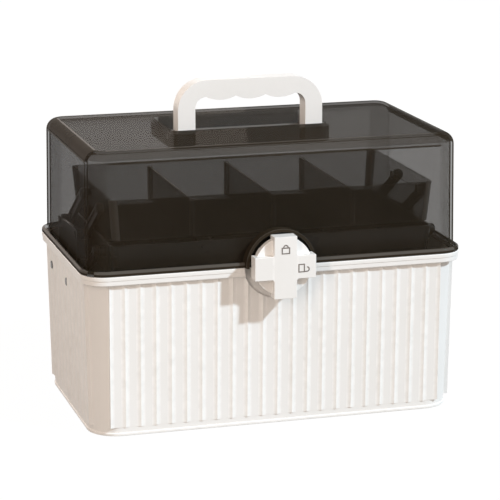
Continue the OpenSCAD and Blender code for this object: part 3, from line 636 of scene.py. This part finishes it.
def new_material(name):
    """A material with its tree, its shader and the piece's own coordinates."""
    material = bpy.data.materials.new(name)
    material.use_nodes = True
    tree = material.node_tree
    return material, tree, tree.nodes["Principled BSDF"], add_node(tree, "TexCoord", {}).outputs["Object"]


def add_grain(tree, place, colour, second, roughness, unevenness, scale):
    return add_node(tree, "Group", {
        "Coordinates": place, "Colour": colour, "Second Tone": second, "Roughness": roughness,
        "Unevenness": unevenness, "Grain Scale": scale}, node_tree=moulded_grain()).outputs


def add_scratches(tree, place, roughness, width, depth):
    """A roughness with hair scratches in it."""
    lines = add_node(tree, "Group", {"Coordinates": place, "Width": width}, node_tree=hairlines())
    scratched = math_node(tree, "MULTIPLY", lines.outputs["Mask"], depth)
    return math_node(tree, "ADD", roughness, scratched, clamp=True)


def add_bump(tree, height, strength, depth):
    return add_node(tree, "Bump", {
        "Height": height, "Strength": strength, "Distance": depth}).outputs["Normal"]


def moulded(name, colour, second, roughness, unevenness, scale, strength, depth, edge=None, **others):
    """An opaque finish with its grain, and with worn edges that carry a painted highlight where it has a
    colour for them.
    """
    material, tree, shader, place = new_material(name)
    grain = surface = add_grain(tree, place, colour, second, roughness, unevenness, scale)
    if edge:
        surface = add_node(tree, "Group", {
            "Coordinates": place, "Rounded": face_value(tree, "rounded"), "Colour": grain["Colour"],
            "Highlight Colour": edge, "Roughness": grain["Roughness"], "Amount": 0.8},
            node_tree=worn_and_highlit_edges()).outputs
    set_inputs(tree, shader, {
        "Base Color": surface["Colour"], "Roughness": surface["Roughness"],
        "Normal": add_bump(tree, grain["Height"], strength, depth), **others})
    return material


def white_plastic(name, finish):
    """Warm white moulded plastic with a fine satin grain."""
    # rounded edges painted 8% paler than the shell as a highlight
    return moulded(
        name, opaque(finish.shell), opaque(finish.shell_shade), roughness=0.42, unevenness=0.16,
        scale=1500.0, strength=0.12, depth=0.00012, edge=opaque(finish.shell, 1.08), IOR=1.49)


def dark_plastic(name, colour, second, roughness, unevenness):
    """Dark plastic with a fine polish."""
    # rounded edges painted 2.5 times lighter as a highlight
    return moulded(
        name, opaque(colour), opaque(second), roughness, unevenness, scale=900.0, strength=0.04,
        depth=0.0001, edge=opaque(colour, 2.5))


def black_plastic(name, finish):
    return dark_plastic(name, finish.tray, finish.tray_shade, roughness=0.30, unevenness=0.15)


def dark_arm_plastic(name, finish):
    return dark_plastic(name, finish.arm, finish.arm_shade, roughness=0.36, unevenness=0.12)


def grey_print(name, finish):
    """Grey ink that lies a little uneven on the plastic."""
    ink = finish.print_ink
    return moulded(
        name, opaque(ink), opaque(ink, 0.8), roughness=0.5, unevenness=0.2, scale=2400.0, strength=0.1,
        depth=0.00005)


def see_through(name, finish, colour, second, cover, roughness):
    """Polished smoked plastic: it stops more light where it is thicker, bent or seen edge on, and where
    painted shade is laid on its faces; its rounded edges carry a painted highlight.
    """
    material, tree, shader, place = new_material(name)
    grain = add_grain(tree, place, opaque(colour), opaque(second), roughness, unevenness=0.05, scale=40.0)
    rounded, thick_and_shade, bend = (face_value(tree, label) for label in ("rounded", "thick_and_shade", "bend"))
    facing = add_node(tree, "LayerWeight", {"Blend": 0.5}).outputs["Facing"]
    edge_on = math_node(tree, "POWER", facing, GRAZING_POWER)
    stopped = stretch(tree, edge_on, to_low=cover, to_high=finish.grazing_cover)
    along = stretch(tree, facing, low=0.45, high=0.66, to_high=finish.grazing_cover)
    edges = math_node(tree, "MULTIPLY", rounded, EDGE_COVER)
    for more in (thick_and_shade, edges, math_node(tree, "MULTIPLY", bend, along)):
        stopped = math_node(tree, "MAXIMUM", stopped, more)
    # the rounded edges' base colour is a painted highlight; the cover holds painted shade as well as the
    # cover of thicker plastic
    set_inputs(tree, shader, {
        "Base Color": mix_colour(tree, rounded, grain["Colour"], opaque(finish.smoke_edge_highlight)),
        "Roughness": add_scratches(tree, place, grain["Roughness"], width=0.0025, depth=0.10),
        "Normal": add_bump(tree, grain["Height"], strength=0.05, depth=0.0002),
        "Alpha": stopped, "Coat Weight": stretch(tree, rounded, to_low=0.05, to_high=0.35),
        "Coat Roughness": 0.04, "Specular IOR Level": 0.0})
    return material


def smoked_plastic(name, finish):
    return see_through(name, finish, finish.smoke, finish.smoke_shade, finish.lid_cover, roughness=0.06)


def smoked_tray_plastic(name, finish):
    return see_through(name, finish, finish.tray, finish.tray_shade, finish.tray_cover, roughness=0.12)


def metal(name, colour, roughness):
    """Drawn steel with fine turning marks."""
    material, tree, shader, place = new_material(name)
    grain = add_grain(
        tree, place, opaque(colour), opaque(colour, 0.85), roughness, unevenness=0.2, scale=3000.0)
    set_inputs(tree, shader, {
        "Base Color": grain["Colour"], "Metallic": 1.0,
        "Roughness": add_scratches(tree, place, grain["Roughness"], width=0.02, depth=0.15)})
    return material


def steel(name, finish):
    return metal(name, finish.steel, roughness=0.28)


def dark_steel(name, finish):
    return metal(name, finish.dark_steel, roughness=0.38)


MAKERS = {maker.__name__: maker for maker in (
    white_plastic, smoked_plastic, smoked_tray_plastic, black_plastic, dark_arm_plastic, grey_print, steel,
    dark_steel)}


@cache
def finish_of(slot):
    """A slot's finish, made once and shared by its pieces."""
    return MAKERS[slot](slot, bpy.context.scene.storage_box.finish)


# Bin

FLANK_STEPS = 4  # faces up each flank of a flute
RING_ROUND = 0.45 * MM  # rounding of the latch ring
EAR_IN, EAR_DOWN = 0.7 * MM, 2.4 * MM  # where an ear's gusset meets the back of its knuckle
PLINTH_ROUND = 0.8 * MM
FLOOR_ROUND = 3 * MM  # rounding inside, round the bin's floor
HEAD_ROOM = 12 * MM  # depth of the room behind the knob for the screw's head
SEAT_DEPTH = 0.3 * MM  # how deep the arm pins' seats are sunk


def bin_half(sizes, height, inset=0.0):
    """Half width and half depth of the bin's walls at a height."""
    lean = sizes.draft * (1 - height / sizes.rim_foot) + sizes.rim_out + inset
    return RIM_HALF_X - lean, sizes.rim_half_depth - lean


def bin_solid(name, sizes, low, high, inset=0.0):
    """The bin's tapered form between two heights, whole or set in."""
    levels = [(height, *bin_half(sizes, height, inset)) for height in (low, high)]
    return add_loft(name, levels, sizes.corner - inset)


def flute_outline(sizes, width, wall_face):
    """Outline of one wall's flutes, seen from above: flat hollows that curve up to narrow ridges."""
    flutes = sizes.flutes_front if width > 2 * sizes.rim_half_depth else sizes.flutes_side
    pitch = width / flutes
    half_width = (pitch - sizes.ridge_width) / 2
    flank = 1 - sizes.flute_flat
    crest = wall_face - sizes.ridge_out
    rises = [step / FLANK_STEPS for step in range(FLANK_STEPS + 1)]
    half = [(half_width * (1 - flank * (1 - rise)), sizes.flute_depth * (1 - rise ** 2)) for rise in rises]
    across = [(-x, depth) for x, depth in reversed(half)] + half
    points = [(-width / 2, wall_face + 2 * sizes.wall), (-width / 2, crest)]
    for flute in range(flutes):
        middle = (flute + 0.5) * pitch - width / 2
        points.extend((middle + x, crest + depth) for x, depth in across)
    return points + [(width / 2, crest), (width / 2, wall_face + 2 * sizes.wall)]


def add_flutes(sizes, name, turned):
    """One wall's flutes, which lean with the wall and run up into the rim."""
    foot, top = sizes.flute_foot, sizes.rim_foot + MM
    half_widths, top_widths = bin_half(sizes, foot), bin_half(sizes, top)
    along, across = (1, 0) if turned else (0, 1)
    width = 2 * (bin_half(sizes, sizes.rim_foot)[along] - sizes.flute_end_in)
    outline = [(x, y, foot) for x, y in flute_outline(sizes, width, -half_widths[across])]
    piece = add_prism(name, outline, (0, half_widths[across] - top_widths[across], top - foot))
    if turned:
        activate(piece)
        piece.rotation_euler.z = math.pi / 2
        set_name(piece, name)
    return piece


def add_bead(name, sizes, inset, low, high):
    """One of the two beads of the bin's rim."""
    piece = add_slab(
        name, low, high, RIM_HALF_X - inset, sizes.rim_half_depth - inset, sizes.rim_corner - inset)
    return soften(piece, sizes.bead_round, segments=4)


def add_latch_ring(sizes, knob):
    """The half ring below the knob and the floor of its pocket."""
    wall_face = sizes.rim_out - sizes.rim_half_depth + MM
    ring = knob_round("latch_ring", knob.ring_inner + knob.ring_width, knob.ring_front, wall_face)
    take_away(ring, knob_round("ring_room", knob.ring_inner, knob.ring_front - MM, knob.ring_floor))
    keep_side(ring, (0, 0, sizes.base_height), (0, 0, 1))
    return soften(ring, RING_ROUND)


def add_knuckle(name, hinge, outline, start, end):
    """A hinge knuckle with the gusset that carries it."""
    knuckle = cross_round(name, hinge.knuckle, start, end, HINGE)
    points = [(start, y, z) for y, z in outline]
    return combine(knuckle, add_prism("gusset", points, (end - start, 0, 0)))


def bin_gusset(sizes, hinge):
    """Outline of a bin ear's gusset, seen from the side."""
    wall_y = sizes.rim_half_depth - sizes.rim_out / 2
    return [
        (wall_y, sizes.rim_foot + MM), (sizes.rim_half_depth + GUSSET_OUT, sizes.rim_foot + MM),
        (HINGE.y + hinge.knuckle - EAR_IN, HINGE.z - EAR_DOWN), (HINGE.y, HINGE.z),
        (HINGE.y - hinge.knuckle + GUSSET_IN, sizes.base_height), (wall_y, sizes.base_height)]


def arm_pin_places():
    """Centres of the arm pins' outer heads on the bin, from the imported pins' own box."""
    low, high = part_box("base_arm_pins")
    radius = (high.z - low.z) / 2
    return (low.y + radius, high.y - radius), (low.z + high.z) / 2


def build_bin(box):
    sizes, knob, hinge = box.bin, box.knob, box.hinge
    piece = bin_solid("fluted_bin", sizes, 0, sizes.base_height)
    for turned in (False, True):
        flutes = add_flutes(sizes, "flutes", turned)
        combine(piece, turned_copy(flutes, "far_flutes", math.pi))
        combine(piece, flutes)
    half = bin_half(sizes, 0, -sizes.plinth_out)
    plinth = add_slab("plinth", 0, sizes.plinth_height, *half, sizes.corner + sizes.plinth_out)
    combine(piece, soften(plinth, PLINTH_ROUND, segments=3))
    rim_middle = sizes.base_height - sizes.rim_height / 2
    combine(piece, add_bead("upper_bead", sizes, 0, rim_middle, sizes.base_height))
    combine(piece, add_bead(
        "lower_bead", sizes, sizes.bead_step, sizes.rim_foot, rim_middle + sizes.bead_round))
    combine(piece, add_latch_ring(sizes, knob))
    combine(piece, soften(knob_round("latch_hub", knob.hub, knob.hub_front, knob.hub_back), FITTING_ROUND))
    for side in SIDES:
        for ear in SIDES:
            near = side * hinge.place + ear * hinge.ear_start
            ends = sorted((near, near + ear * hinge.ear_width))
            combine(piece, add_knuckle("bin_ear", hinge, bin_gusset(sizes, hinge), *ends))
    room = bin_solid("bin_room", sizes, sizes.floor, sizes.base_height + MM, sizes.wall)
    take_away(piece, bevel_edges(room, at_height(sizes.floor), FLOOR_ROUND, segments=4))
    pin_ys, pin_z = arm_pin_places()
    wall_x = bin_half(sizes, pin_z)[0]
    for side in SIDES:
        for y in pin_ys:
            pin = Vector((0, y, pin_z))
            combine(piece, cross_round(
                "pin_boss", sizes.pin_boss, side * sizes.pin_boss_face, side * (wall_x - MM), pin, steps=64))
            take_away(piece, cross_round(
                "pin_seat", sizes.pin_seat, side * (wall_x - SEAT_DEPTH), side * RIM_HALF_X, pin, steps=64))
        middle = side * hinge.place
        take_away(piece, cross_round(
            "knuckle_room", hinge.room, middle - hinge.ear_start, middle + hinge.ear_start, HINGE))
    take_away(piece, knob_round(
        "head_room", knob.head_bore, knob.head_seat, -sizes.rim_half_depth + HEAD_ROOM))
    take_away(piece, knob_round("spindle_bore", knob.spindle, knob.hub_front - MM, knob.head_seat + MM))
    finish_piece(piece, "base", "white_plastic", "base_bin", angle=20)


# Lid

# how much light the lid stops: at the flange, where its plastic is thicker, and as painted shade in the
# handle recess and on the top
FLANGE_COVER, RECESS_COVER, TOP_COVER = 0.97, 0.72, 0.58
BEND_COVER, CORNER_COVER = 0.72, 0.45  # painted shade on bends that look up, and on upright ones
FRONT_LINE_COVER = 0.9  # painted dark line in front where a bend starts
FLANGE_SHINE, LINE_SHINE = 0.4, 0.3  # share of the painted highlight and the coat in the flange's edges and in the other lines
FLAT_NORMAL = 0.998  # a face whose normal keeps this much to an axis is flat
FACES_UP, FACES_FRONT = 0.25, -0.9  # normals of the bends that look up, and of the front line
TUB_ROUND = 2.5 * MM  # rounding under the handle recess
FLANGE_FOOT_ROUND = COLLAR_ROUND = 0.5 * MM
PARTING = 0.2 * MM  # gap between the lid's gussets and the bin


def mark_smoked_faces(piece, box):
    """Stores how much light each face stops, for the thickness of its plastic and for painted shade, and
    which faces bend.

    A long narrow face beside a large flat one is the line where a bend starts. It gets a painted dark line in
    front, and a painted highlight on the other sides.
    """
    sizes, lid = box.bin, box.lid
    half_x, half_y = (half + NEAR for half in sizes.half_wall)
    around = sizes.wall + NEAR
    flat_area, line_length = 1500 * MM * MM, 30 * MM
    mesh = bmesh.new()
    mesh.from_mesh(piece.data)
    rounded = mesh.faces.layers.float.get("rounded")
    thick_and_shade = mesh.faces.layers.float.new("thick_and_shade")
    bend = mesh.faces.layers.float.new("bend")
    for face in mesh.faces:
        place = face.calc_center_median()
        if abs(place.x) > half_x or abs(place.y) > half_y:
            face[thick_and_shade] = FLANGE_COVER
            # painted highlight on the flange's edges, kept faint
            face[rounded] *= FLANGE_SHINE
        elif (abs(place.x) < lid.recess_half_x + around
              and lid.recess_front - around < place.y < lid.recess_back + around
              and lid.recess_floor - around < place.z < LID_TOP - NEAR):
            # painted shade in the handle recess
            face[thick_and_shade] = RECESS_COVER
        elif abs(face.normal.z) > FLAT_NORMAL and place.z > LID_TOP - around:
            # painted shade on the lid's top
            face[thick_and_shade] = TOP_COVER
        elif max(abs(part) for part in face.normal) < FLAT_NORMAL:
            # painted shade on the bends
            face[thick_and_shade] = BEND_COVER if face.normal.z > FACES_UP else CORNER_COVER
            face[bend], face[rounded] = 1.0, 0.0
            longest = max(edge.calc_length() for edge in face.edges)
            beside = (other for edge in face.edges for other in edge.link_faces)
            if (longest > line_length and any(other.calc_area() > flat_area for other in beside)
                    and face.normal.dot(place) > 0):
                if face.normal.y < FACES_FRONT:
                    # painted dark line where a bend starts
                    face[thick_and_shade] = FRONT_LINE_COVER
                else:
                    # painted highlight along the line where a bend starts
                    face[rounded] = LINE_SHINE
    mesh.to_mesh(piece.data)
    mesh.free()


def lid_solid(name, box, foot, top, inset, steps=10):
    """The lid's tapered form, whole or set in by a wall."""
    lid = box.lid
    half_x, half_y = (half - inset for half in box.bin.half_wall)
    levels = [(foot, half_x, half_y), (top, half_x - lid.draft, half_y - lid.draft)]
    return add_loft(name, levels, lid.corner - inset, steps=steps)


def add_recess(piece, lid, wall):
    """Sinks the handle's recess in the lid's top, with a wall round it."""
    middle_y = (lid.recess_front + lid.recess_back) / 2
    half_x, half_y = lid.recess_half_x, (lid.recess_back - lid.recess_front) / 2
    foot = lid.recess_floor - wall
    tub = add_slab(
        "recess_tub", foot, LID_TOP - wall / 2, half_x + wall, half_y + wall, lid.recess_corner + wall,
        middle_y, steps=8)
    combine(piece, bevel_edges(tub, at_height(foot), TUB_ROUND, segments=4))
    hole = add_slab(
        "recess_hole", lid.recess_floor, LID_TOP + MM, half_x, half_y, lid.recess_corner, middle_y,
        steps=8)
    take_away(piece, bevel_edges(hole, at_height(lid.recess_floor), lid.recess_round, segments=3))


def build_lid(box):
    sizes, lid, hinge = box.bin, box.lid, box.hinge
    foot, wall, half_y = sizes.base_height, sizes.wall, sizes.half_wall[1]
    piece = lid_solid("smoked_lid", box, foot, LID_TOP, inset=0, steps=16)
    bevel_edges(piece, at_height(LID_TOP), lid.fillet, segments=10)
    flange_top = foot + lid.flange
    flange = add_slab(
        "lid_flange", foot, flange_top, RIM_HALF_X, sizes.rim_half_depth, sizes.rim_corner)
    bevel_edges(flange, at_height(flange_top), lid.flange_round, segments=4)
    bevel_edges(flange, at_height(foot), FLANGE_FOOT_ROUND, segments=2)
    combine(piece, flange)
    room = lid_solid("lid_room", box, foot - MM, LID_TOP - wall, wall)
    take_away(piece, bevel_edges(room, at_height(LID_TOP - wall), lid.fillet - wall, segments=8))
    add_recess(piece, lid, wall)
    for side in SIDES:
        boss_face, boss_foot = lid.stud_boss_face, lid.recess_half_x + wall / 2
        boss = cross_round("stud_boss", lid.stud_boss, side * boss_face, side * boss_foot, STUD)
        combine(piece, soften(boss, FITTING_ROUND))
        take_away(piece, cross_round(
            "stud_bore", box.handle.stud + PLAY, side * (boss_face - MM),
            side * (lid.recess_half_x + wall + MM), STUD))
    collar = knob_round("knob_collar", lid.collar_inner + lid.collar_width, lid.collar_front, -half_y + MM)
    take_away(collar, knob_round("collar_room", lid.collar_inner, lid.collar_front - MM, -half_y + 2 * MM))
    keep_side(collar, (0, 0, foot), (0, 0, -1))
    combine(piece, soften(collar, COLLAR_ROUND, segments=3))
    catch = add_box(
        "lid_catch", (-lid.catch_half_x, lid.catch_front, lid.catch_foot),
        (lid.catch_half_x, -half_y + MM, lid.catch_foot + lid.catch_height))
    combine(piece, soften(catch, FITTING_ROUND))
    gusset = [
        (half_y - MM, foot + PARTING), (HINGE.y - hinge.knuckle + GUSSET_IN, foot + PARTING),
        (HINGE.y, HINGE.z), (HINGE.y, HINGE.z + hinge.knuckle),
        (half_y - MM, HINGE.z + hinge.knuckle + GUSSET_OUT)]
    near, far = hinge.ear_start - hinge.gap, hinge.ear_start + hinge.ear_width + hinge.gap
    for side in SIDES:
        middle = side * hinge.place
        combine(piece, add_knuckle(
            "lid_knuckle", hinge, gusset, middle - hinge.lid_half, middle + hinge.lid_half))
        for ear in SIDES:
            take_away(piece, cross_round(
                "ear_room", hinge.room, middle + ear * near, middle + ear * far, HINGE))
        take_away(piece, cross_round(
            "pin_bore", hinge.pin + PLAY, middle - far, middle + far, HINGE, steps=24))
    finish_piece(piece, "lid", "smoked_plastic", "lid_shell")
    mark_smoked_faces(piece, box)


# Handle


def build_handle(box):
    sizes = box.handle
    front, back = HANDLE_LOW.y, HANDLE_HIGH.y
    foot, top = STUD.z - sizes.foot_round, HANDLE_HIGH.z
    half_x = box.lid.recess_half_x - box.lid.recess_corner
    piece = add_box("carry_handle", (-half_x, front, foot), (half_x, back, top))
    bevel_edges(piece, at_height(top, across=0), sizes.outer_round, segments=20)
    bevel_edges(piece, at_height(foot, across=1), sizes.foot_round, segments=10)
    inner = half_x - sizes.leg
    bump_depth = sizes.bump_radius - math.sqrt(sizes.bump_radius ** 2 - sizes.bump_pitch ** 2 / 4)
    window_top = top - sizes.bar + bump_depth
    window = add_box("grip_window", (-inner, front - MM, foot - MM), (inner, back + MM, window_top))
    bevel_edges(window, at_height(window_top, across=0), sizes.inner_round, segments=10)
    z = top - sizes.bar + sizes.bump_radius
    for bump in range(sizes.bumps):
        x = (bump - (sizes.bumps - 1) / 2) * sizes.bump_pitch
        take_away(window, add_round(
            "finger_bump", sizes.bump_radius, (x, front - 2 * MM, z), (x, back + 2 * MM, z), ALONG_Y,
            steps=128))
    take_away(piece, window)
    soften(piece, sizes.edge_round, segments=4, angle=35)
    for side in SIDES:
        stud = cross_round(
            "stud", sizes.stud, side * (half_x - 2 * MM), side * HANDLE_HIGH.x, STUD, steps=32)
        combine(piece, soften(stud, SLIGHT_ROUND))
    finish_piece(piece, "handle", "white_plastic", "handle")


# Knob


def add_cam_rib(sizes, front, back):
    """A rib on the knob's back, swept round the axis from a rectangle."""
    activate(None)
    middle = KNOB.z + (sizes.cam_inner + sizes.cam_width / 2)
    bpy.ops.mesh.primitive_plane_add(size=1, location=(0, (front + back) / 2, middle), rotation=ALONG_X)
    piece = bpy.context.object
    piece.scale = (sizes.cam_width, back - front, 1)
    set_name(piece, "cam_rib")
    open_mesh(piece)
    bpy.ops.transform.rotate(value=sizes.cam_angle / 2, orient_axis="Y", center_override=(0, 0, KNOB.z))
    bpy.ops.mesh.spin(steps=24, angle=sizes.cam_angle, center=(0, 0, KNOB.z), axis=(0, 1, 0))
    bpy.ops.mesh.select_all(action="SELECT")
    bpy.ops.mesh.remove_doubles(threshold=NEAR)
    close_solid()
    return piece


def build_knob(box):
    sizes = box.knob
    front, reach, arm = KNOB_LOW.y, KNOB_HIGH.x, sizes.cross / 2
    piece = add_box("latch_cross_knob", (-arm, front, KNOB.z - reach), (arm, KNOB.y, KNOB.z + reach))
    combine(piece, add_box("level_arms", (-reach, front, KNOB.z - arm), (reach, KNOB.y, KNOB.z + arm)))

    def inner_corner(edge):
        return all(
            abs(abs(vertex.co.x) - arm) < NEAR and abs(abs(vertex.co.z - KNOB.z) - arm) < NEAR
            for vertex in edge.verts)

    bevel_edges(piece, inner_corner, sizes.quadrant_round, segments=5)
    combine(piece, knob_round("knob_disc", sizes.radius, front + sizes.quadrant_depth, KNOB.y, steps=128))
    soften(piece, sizes.edge_round, segments=3, angle=35)
    combine(piece, knob_round("spindle", sizes.spindle - PLAY, KNOB.y - MM, sizes.head_seat, steps=48))
    combine(piece, add_cam_rib(sizes, KNOB.y - MM, sizes.cam_back))
    finish_piece(piece, "latch", "white_plastic", "latch_knob")


# Operators

TRAY_ROUND, ARM_ROUND = 0.5 * MM, 0.35 * MM  # rounding of the trays' and the arms' edges


class STORAGEBOX_OT_bin(Operator):
    """Build the fluted bin with its rim, plinth, latch ring and hinge ears"""

    bl_idname = "storage_box.bin"
    bl_label = "Bin"

    def execute(self, context):
        build_bin(context.scene.storage_box)
        return {"FINISHED"}


class STORAGEBOX_OT_lid(Operator):
    """Build the smoked lid with its flange, handle recess, collar and knuckles"""

    bl_idname = "storage_box.lid"
    bl_label = "Lid"

    def execute(self, context):
        build_lid(context.scene.storage_box)
        return {"FINISHED"}


class STORAGEBOX_OT_handle(Operator):
    """Build the carry handle with its finger bumps and studs"""

    bl_idname = "storage_box.handle"
    bl_label = "Handle"

    def execute(self, context):
        build_handle(context.scene.storage_box)
        return {"FINISHED"}


class STORAGEBOX_OT_knob(Operator):
    """Build the latch knob with its raised cross, and finish its marks and screw"""

    bl_idname = "storage_box.knob"
    bl_label = "Latch knob"

    def execute(self, context):
        build_knob(context.scene.storage_box)
        for mark in ("closed_padlock_mark", "open_padlock_mark"):
            coat(frame["nodes"][mark], "grey_print")
        soft_copy("latch_screw", "knob_screw", "latch", "steel", SLIGHT_ROUND)
        return {"FINISHED"}


class STORAGEBOX_OT_trays(Operator):
    """Build the two trays and their loose dividers"""

    bl_idname = "storage_box.trays"
    bl_label = "Trays"

    def execute(self, context):
        for level, slot in (("lower", "black_plastic"), ("upper", "smoked_tray_plastic")):
            body = f"{level}_tray"
            soft_copy(body, f"{level}_open_tray", body, slot, TRAY_ROUND)
            soft_copy(f"{body}_dividers", f"{level}_divider_plates", body, slot, SLIGHT_ROUND)
        return {"FINISHED"}


class STORAGEBOX_OT_arms(Operator):
    """Build the eight swinging arms"""

    bl_idname = "storage_box.arms"
    bl_label = "Arms"

    def execute(self, context):
        for pair in ("lower_front", "lower_rear", "upper_front", "upper_rear"):
            for side in ("left", "right"):
                soft_copy(
                    f"{pair}_arm_{side}", f"{pair}_channel_arm_{side}", f"{pair}_arms", "dark_arm_plastic",
                    ARM_ROUND)
        return {"FINISHED"}


class STORAGEBOX_OT_pins(Operator):
    """Build the arm pins and the hinge pins"""

    bl_idname = "storage_box.pins"
    bl_label = "Pins"

    def execute(self, context):
        bodies = {
            "base_arm_pins": "base", "lower_tray_front_pins": "lower_tray",
            "lower_tray_middle_pins": "lower_tray", "lower_tray_rear_pins": "lower_tray",
            "upper_tray_pins": "upper_tray"}
        for node, body in bodies.items():
            soft_copy(node, f"round_{node}", body, "dark_steel", SLIGHT_ROUND)
        for side in ("left", "right"):
            soft_copy(f"hinge_pin_{side}", f"round_hinge_pin_{side}", "base", "steel", SLIGHT_ROUND)
        return {"FINISHED"}


# Stage

WHITE = (1.0, 1.0, 1.0, 1.0)
KEY_PLACE = (1.18, -1.07, 1.21)  # the key light shines from here to the origin


def white_where_seen(tree):
    """1 for rays that come from the camera or a glossy or clear surface, and 0 for all others."""
    rays = add_node(tree, "LightPath", {}).outputs
    seen = math_node(tree, "MAXIMUM", rays["Is Camera Ray"], rays["Is Glossy Ray"])
    return math_node(tree, "MAXIMUM", seen, rays["Is Transmission Ray"])


def mix_where_seen(owner, output, share, plain, white):
    """Ends a world or a material in one shader for its light and a white one where it is seen."""
    owner.use_nodes = True
    tree = owner.node_tree
    tree.nodes.clear()
    plain, white = (add_node(tree, *shader).outputs[0] for shader in (plain, white))
    factor = math_node(tree, "MULTIPLY", white_where_seen(tree), share)
    mixed = add_node(tree, "MixShader", {0: factor, 1: plain, 2: white})
    add_node(tree, output, {"Surface": mixed.outputs[0]})


def build_world(stage):
    """An even sky that is seen as plain white."""
    world = bpy.data.worlds.new("studio")
    bpy.context.scene.world = world
    mix_where_seen(
        world, "OutputWorld", 1.0,
        ("Background", {"Color": opaque(stage.sky_colour), "Strength": stage.sky_power}),
        ("Background", {"Color": WHITE, "Strength": 1.0}))


def build_floor(stage):
    """A plain pale floor that keeps the box's shadow."""
    activate(None)
    bpy.ops.mesh.primitive_plane_add(size=stage.floor, location=(0, 0, 0))
    floor = bpy.context.object
    floor.name = "studio_floor"
    material = bpy.data.materials.new("studio_floor")
    mix_where_seen(
        material, "OutputMaterial", stage.floor_white,
        ("BsdfDiffuse", {"Color": opaque(stage.floor_colour)}),
        ("Emission", {"Color": WHITE, "Strength": stage.floor_glow}))
    floor.data.materials.append(material)


def place_in_scene(name, data, place, target):
    """Puts a light or a camera in the scene, turned to its target."""
    piece = bpy.data.objects.new(name, data)
    bpy.context.scene.collection.objects.link(piece)
    piece.location = place
    piece.rotation_euler = (Vector(target) - Vector(place)).to_track_quat("-Z", "Y").to_euler()
    return piece


def build_lights(stage):
    """The sun-like key light, and three soft lights."""
    key = bpy.data.lights.new("key_light", "SUN")
    key.energy, key.angle, key.color = stage.key_power, stage.key_spread, stage.key_colour
    place_in_scene("key_light", key, KEY_PLACE, (0, 0, 0))
    for name, power, width, height, place, target in (
            ("fill_light", stage.fill_power, 0.14, 1.6, (-1.6, -1.65, 0.7), (0, 0, 0.1)),
            ("front_light", stage.front_power, 2.4, 1.2, (-0.5, -3.0, 0.62), (0, 0, 0.12)),
            ("rear_light", stage.rear_power, 2.4, 1.2, (-0.3, 3.0, 0.62), (0, 0, 0.12))):
        light = bpy.data.lights.new(name, "AREA")
        light.energy, light.color, light.shape = power, stage.soft_colour, "RECTANGLE"
        light.size, light.size_y = width, height
        place_in_scene(name, light, place, target)


def build_camera(stage):
    """The camera at the photograph's viewing angle."""
    camera = bpy.data.cameras.new("camera")
    camera.sensor_width = stage.sensor
    camera.lens = stage.sensor * stage.focal_share
    camera.clip_start, camera.clip_end = 0.05, 50.0
    target = Vector((stage.target_x, 0, stage.target_z))
    level = math.cos(stage.elevation)
    back = Vector((
        math.sin(stage.azimuth) * level, -math.cos(stage.azimuth) * level, math.sin(stage.elevation)))
    bpy.context.scene.camera = place_in_scene("camera", camera, target + stage.distance * back, target)


class STORAGEBOX_OT_stage(Operator):
    """Build the floor, the lights and the camera"""

    bl_idname = "storage_box.stage"
    bl_label = "Stage"

    def execute(self, context):
        stage = context.scene.storage_box.stage
        build_world(stage)
        build_floor(stage)
        build_lights(stage)
        build_camera(stage)
        context.scene.view_settings.view_transform = "Standard"
        return {"FINISHED"}


OPERATORS = (
    STORAGEBOX_OT_bin, STORAGEBOX_OT_lid, STORAGEBOX_OT_handle, STORAGEBOX_OT_knob, STORAGEBOX_OT_trays,
    STORAGEBOX_OT_arms, STORAGEBOX_OT_pins, STORAGEBOX_OT_stage)


class STORAGEBOX_PT_panel(Panel):
    bl_label = "Storage Box"
    bl_space_type = "VIEW_3D"
    bl_region_type = "UI"
    bl_category = "Storage Box"

    def draw(self, context):
        for operator in OPERATORS:
            self.layout.operator(operator.bl_idname)


CLASSES = (
    BinSizes, LidSizes, HandleSizes, KnobSizes, HingeSizes, Finishes, StageSizes, StorageBox, *OPERATORS,
    STORAGEBOX_PT_panel)


def register():
    for item in CLASSES:
        bpy.utils.register_class(item)
    bpy.types.Scene.storage_box = PointerProperty(type=StorageBox)


def unregister():
    del bpy.types.Scene.storage_box
    for item in reversed(CLASSES):
        bpy.utils.unregister_class(item)


def write_sizes():
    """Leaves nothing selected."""
    activate(None)


def main():
    register()
    for operator in OPERATORS:
        group, name = operator.bl_idname.split(".")
        getattr(getattr(bpy.ops, group), name)()
    write_sizes()


if __name__ == "__main__":
    main()
